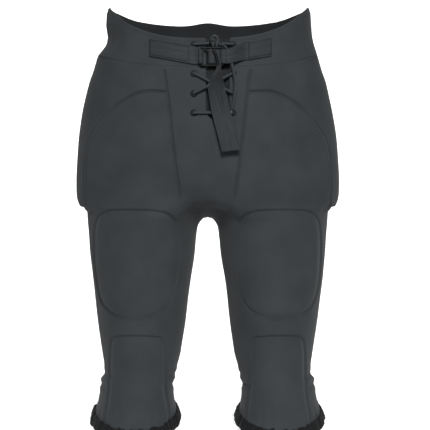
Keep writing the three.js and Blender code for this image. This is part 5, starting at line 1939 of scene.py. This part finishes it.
# ---- Hems ---------------------------------------------------------------------------------------------
@dataclass
class Hems:
    """The overlocked, ruffled edge of each leg and the elastic tape inside it."""

    form: BodyForm
    finishes: Finishes
    around: int = 240
    drop: float = 6.2  # from the hem to the middle of the rolled edge
    wide: float = 5.0
    tall: float = 9.6
    ruffle: float = 1.5
    tape_top: float = -590
    tape_foot: float = -598

    def ring(self, side: int) -> tuple[Array, Array, Array]:
        """Places along the hem, outward directions and angles."""
        turn = np.linspace(0, 2 * math.pi, self.around, endpoint=False)
        hem = self.form.leg_points(np.full(self.around, self.form.hem, float), turn)
        out = np.stack([np.cos(turn) * 76, np.sin(turn) * 63.5, 0 * turn], axis=1)
        out /= np.linalg.norm(out, axis=1)[:, None]
        mirror = np.array([side, 1, 1])
        return hem * mirror, out * mirror, turn

    def waves(self, turn: Array, side: int) -> tuple[Array, Array]:
        """Sideways and upright ruffles of the edge."""
        a = 0.5 * np.sin(17 * turn + side) + 0.35 * np.sin(29 * turn + 2)
        a = a + 0.3 * np.sin(43 * turn + side * 1.7)
        b = 0.5 * np.sin(23 * turn + 1) + 0.4 * np.sin(37 * turn + side)
        return self.ruffle * a, 0.8 * self.ruffle * b

    def build(self) -> None:
        """Makes both hems."""
        for side, end in ((1, "left"), (-1, "right")):
            hem, out, turn = self.ring(side)
            sway, lift = self.waves(turn, side)
            sections = 20
            phase = np.linspace(0, 2 * math.pi, sections, endpoint=False)
            c, s = np.cos(phase), np.sin(phase)
            flat = np.sign(s) * np.abs(s) ** 0.8
            down = np.array([0, 0, -1.0])
            # Thin where it leaves the cuff, and fullest a little over its lower edge.
            full = self.wide * (0.55 + 0.45 * smoothstep((0.6 - flat) / 1.2))
            middle = hem + out * (0.6 + sway)[:, None] + down * (self.drop + lift)[:, None]
            nubs = 1 + 0.16 * np.sin(turn * 96)[:, None] * np.maximum(c, 0)[None]
            lean = 1.6 * (1 - flat) / 2
            points = (
                middle[:, None]
                + out[:, None] * ((full * c)[None] * nubs + lean[None])[..., None]
                - down * (self.tall * flat)[None, :, None]
            )
            count = self.around
            r, k = np.meshgrid(np.arange(count), np.arange(sections), indexing="ij")
            quads = np.stack([
                r * sections + k, (r + 1) % count * sections + k,
                (r + 1) % count * sections + (k + 1) % sections, r * sections + (k + 1) % sections,
            ], axis=-1).reshape(-1, 4)
            flatpoints = points.reshape(-1, 3)
            cloth = np.broadcast_arrays(turn[:, None] * 70, (phase * 6)[None])
            uv = np.stack(cloth, axis=-1).reshape(-1, 2) * MM
            piece = make_object(f"hem_roll_{end}", flatpoints * MM, outward(flatpoints, quads), uv)
            finish_piece(piece, "root", "binding", self.finishes.binding, f"hem_binding_{end}")
            self.overlock(points, phase, end)
            self.tape(side, end)

    def overlock(self, points: Array, phase: Array, end: str) -> None:
        """Thread loops that wrap the rolled edge, slanting a little."""
        lines, normals, pairs, start = [], [], [], 0
        order = np.argsort(np.cos(phase - math.pi * 1.85))[-11:]
        order = order[np.argsort((phase[order] + math.pi) % (2 * math.pi))]
        for i in range(0, len(points), 2):
            places = np.array([points[(i + n // 3) % len(points), k] for n, k in enumerate(order)])
            middle = points[i].mean(axis=0)
            away = places - middle
            away /= np.linalg.norm(away, axis=1)[:, None]
            lines.append(places + away * 0.15)
            normals.append(away)
            n = np.arange(start, start + len(places) - 1)
            pairs.append(np.stack([n, n + 1], axis=1))
            start += len(places)
        StitchRow(f"overlock_{end}", 3.4, 3.0, 0.42, self.finishes.edge_thread).sew(
            np.vstack(lines), np.vstack(normals), np.vstack(pairs), "root", "binding"
        )

    def tape(self, side: int, end: str) -> None:
        """The elastic tape inside the cuff."""
        turn = np.linspace(0, 2 * math.pi, self.around, endpoint=False)
        rows = []
        for height, inset in (
            (self.tape_top, 2.8), ((self.tape_top + self.tape_foot) / 2, 2.8), (self.tape_foot, 2.8),
            (self.tape_foot, 4.0), ((self.tape_top + self.tape_foot) / 2, 4.0), (self.tape_top, 4.0),
        ):
            ring = self.form.leg_points(np.full(self.around, height, float), turn)
            inward = np.stack([np.cos(turn) * 75, np.sin(turn) * 62, 0 * turn], axis=1)
            inward /= np.linalg.norm(inward, axis=1)[:, None]
            rows.append((ring - inward * inset) * [side, 1, 1])
        points = np.stack(rows).reshape(-1, 3)
        quads = grid_faces(6, self.around, True)
        close = np.arange(self.around)
        nxt = (close + 1) % self.around
        quads = np.vstack(
            [quads, np.stack([5 * self.around + close, close, nxt, 5 * self.around + nxt], axis=1)]
        )
        uv = np.stack([np.tile(turn * 68, 6), points[:, 2]], axis=1) * MM
        piece = make_object(f"leg_elastic_{end}_tape", points * MM, outward(points, quads), uv)
        finish_piece(piece, "root", "elastic", self.finishes.elastic, f"leg_elastic_{end}")


# ---- Studio -------------------------------------------------------------------------------------------
@dataclass(frozen=True)
class Studio:
    """Camera, soft lights and a plain pale floor that curves up behind."""

    camera_place: tuple[float, float, float] = (0.0114, -2.4, -0.298)
    field_width: float = 0.671  # metres across the view at the garment's middle
    floor_gap: float = 0.004

    def camera(self) -> None:
        """A level camera, straight from the front."""
        data = bpy.data.cameras.new("camera")
        data.sensor_width = 36
        data.lens = data.sensor_width * -self.camera_place[1] / self.field_width
        data.clip_start, data.clip_end = 0.05, 50
        made = bpy.data.objects.new("camera", data)
        made.location = self.camera_place
        made.rotation_euler = (math.pi / 2, 0, 0)
        bpy.context.scene.collection.objects.link(made)
        bpy.context.scene.camera = made

    def floor(self, height: float) -> None:
        """A floor of pale paper, and a brighter sheet that curves up behind it."""
        near, bend, radius = -0.6, 1.5, 0.8
        turn = np.linspace(0, math.pi / 2, 16)
        curve = [(bend + radius * math.sin(a) + 1.2 * (a > 0), radius * (1 - math.cos(a))) for a in turn]
        profiles = {
            "floor": ([(near, 0.0), (bend, 0.0)], 0.38), "backdrop": ([*curve, (curve[-1][0], 2.2)], 0.55)
        }
        for name, (profile, glow) in profiles.items():
            points = np.array([(x, y, z + height) for y, z in profile for x in (-1.1, 1.1)])
            made = make_object(name, points, grid_faces(len(profile), 2, flip=False)[:, ::-1])
            material, tree = surface(name + "_paper")
            grain = add(tree, "ShaderNodeTexNoise", Scale=60.0, Detail=2.0)
            bump = add(tree, "ShaderNodeBump", Strength=0.02, Height=grain.outputs["Fac"])
            shader(
                tree, srgb("#f6f6f6"), bump.outputs["Normal"], Roughness=0.9, Emission_Color=srgb("#ffffff"),
                Emission_Strength=glow,
            )
            made.data.materials.append(material)
            made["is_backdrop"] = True

    def light(
        self, name: str, place: tuple[float, ...], aim: tuple[float, ...], size: float, power: float
    ) -> None:
        """One square soft light that looks at a place."""
        data = bpy.data.lights.new(name, "AREA")
        data.shape, data.size, data.energy = "SQUARE", size, power
        made = bpy.data.objects.new(name, data)
        made.location = place
        made.rotation_euler = (Vector(aim) - Vector(place)).to_track_quat("-Z", "Y").to_euler()
        bpy.context.scene.collection.objects.link(made)

    def lights(self) -> None:
        """A broad key from the front right, a weaker fill, and a bright room."""
        middle = (0.0, 0.0, -0.3)
        self.light("key", (0.28, -2.45, 1.25), middle, 0.7, 106)
        self.light("fill", (-0.15, -2.7, 0.2), middle, 1.0, 10)
        for side, end in ((1, "left"), (-1, "right")):
            self.light("backdrop_" + end, (side * 0.9, 0.6, 0.85), (side * 0.3, 3.0, -0.4), 1.0, 26)
        world = bpy.data.worlds.new("room")
        bpy.context.scene.world = world
        world.use_nodes = True
        world.node_tree.nodes["Background"].inputs["Color"].default_value = (1, 1, 1, 1)
        world.node_tree.nodes["Background"].inputs["Strength"].default_value = 0.07
        bpy.context.scene.view_settings.view_transform = "Standard"


def main() -> None:
    """Builds the studio and then the garment, sub-assembly by sub-assembly."""
    logging.basicConfig(level=logging.INFO, format="%(message)s")
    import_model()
    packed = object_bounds()
    studio = Studio()
    studio.camera()
    finishes = Finishes()
    form = BodyForm()
    fly = LacedFly(form, finishes)
    fly.build_ends()
    seams = Seams(form)
    shell = Shell(form, seams, finishes)
    shell.build_surface()
    shell.build_panels()
    shell.build_stitches()
    Layers(shell, finishes).build()
    fly.build_eyelets()
    fly.build_lace()
    Belt(form, finishes).build()
    Hems(form, finishes).build()
    studio.floor(packed[0].z - studio.floor_gap)
    studio.lights()


if __name__ == "__main__":
    main()
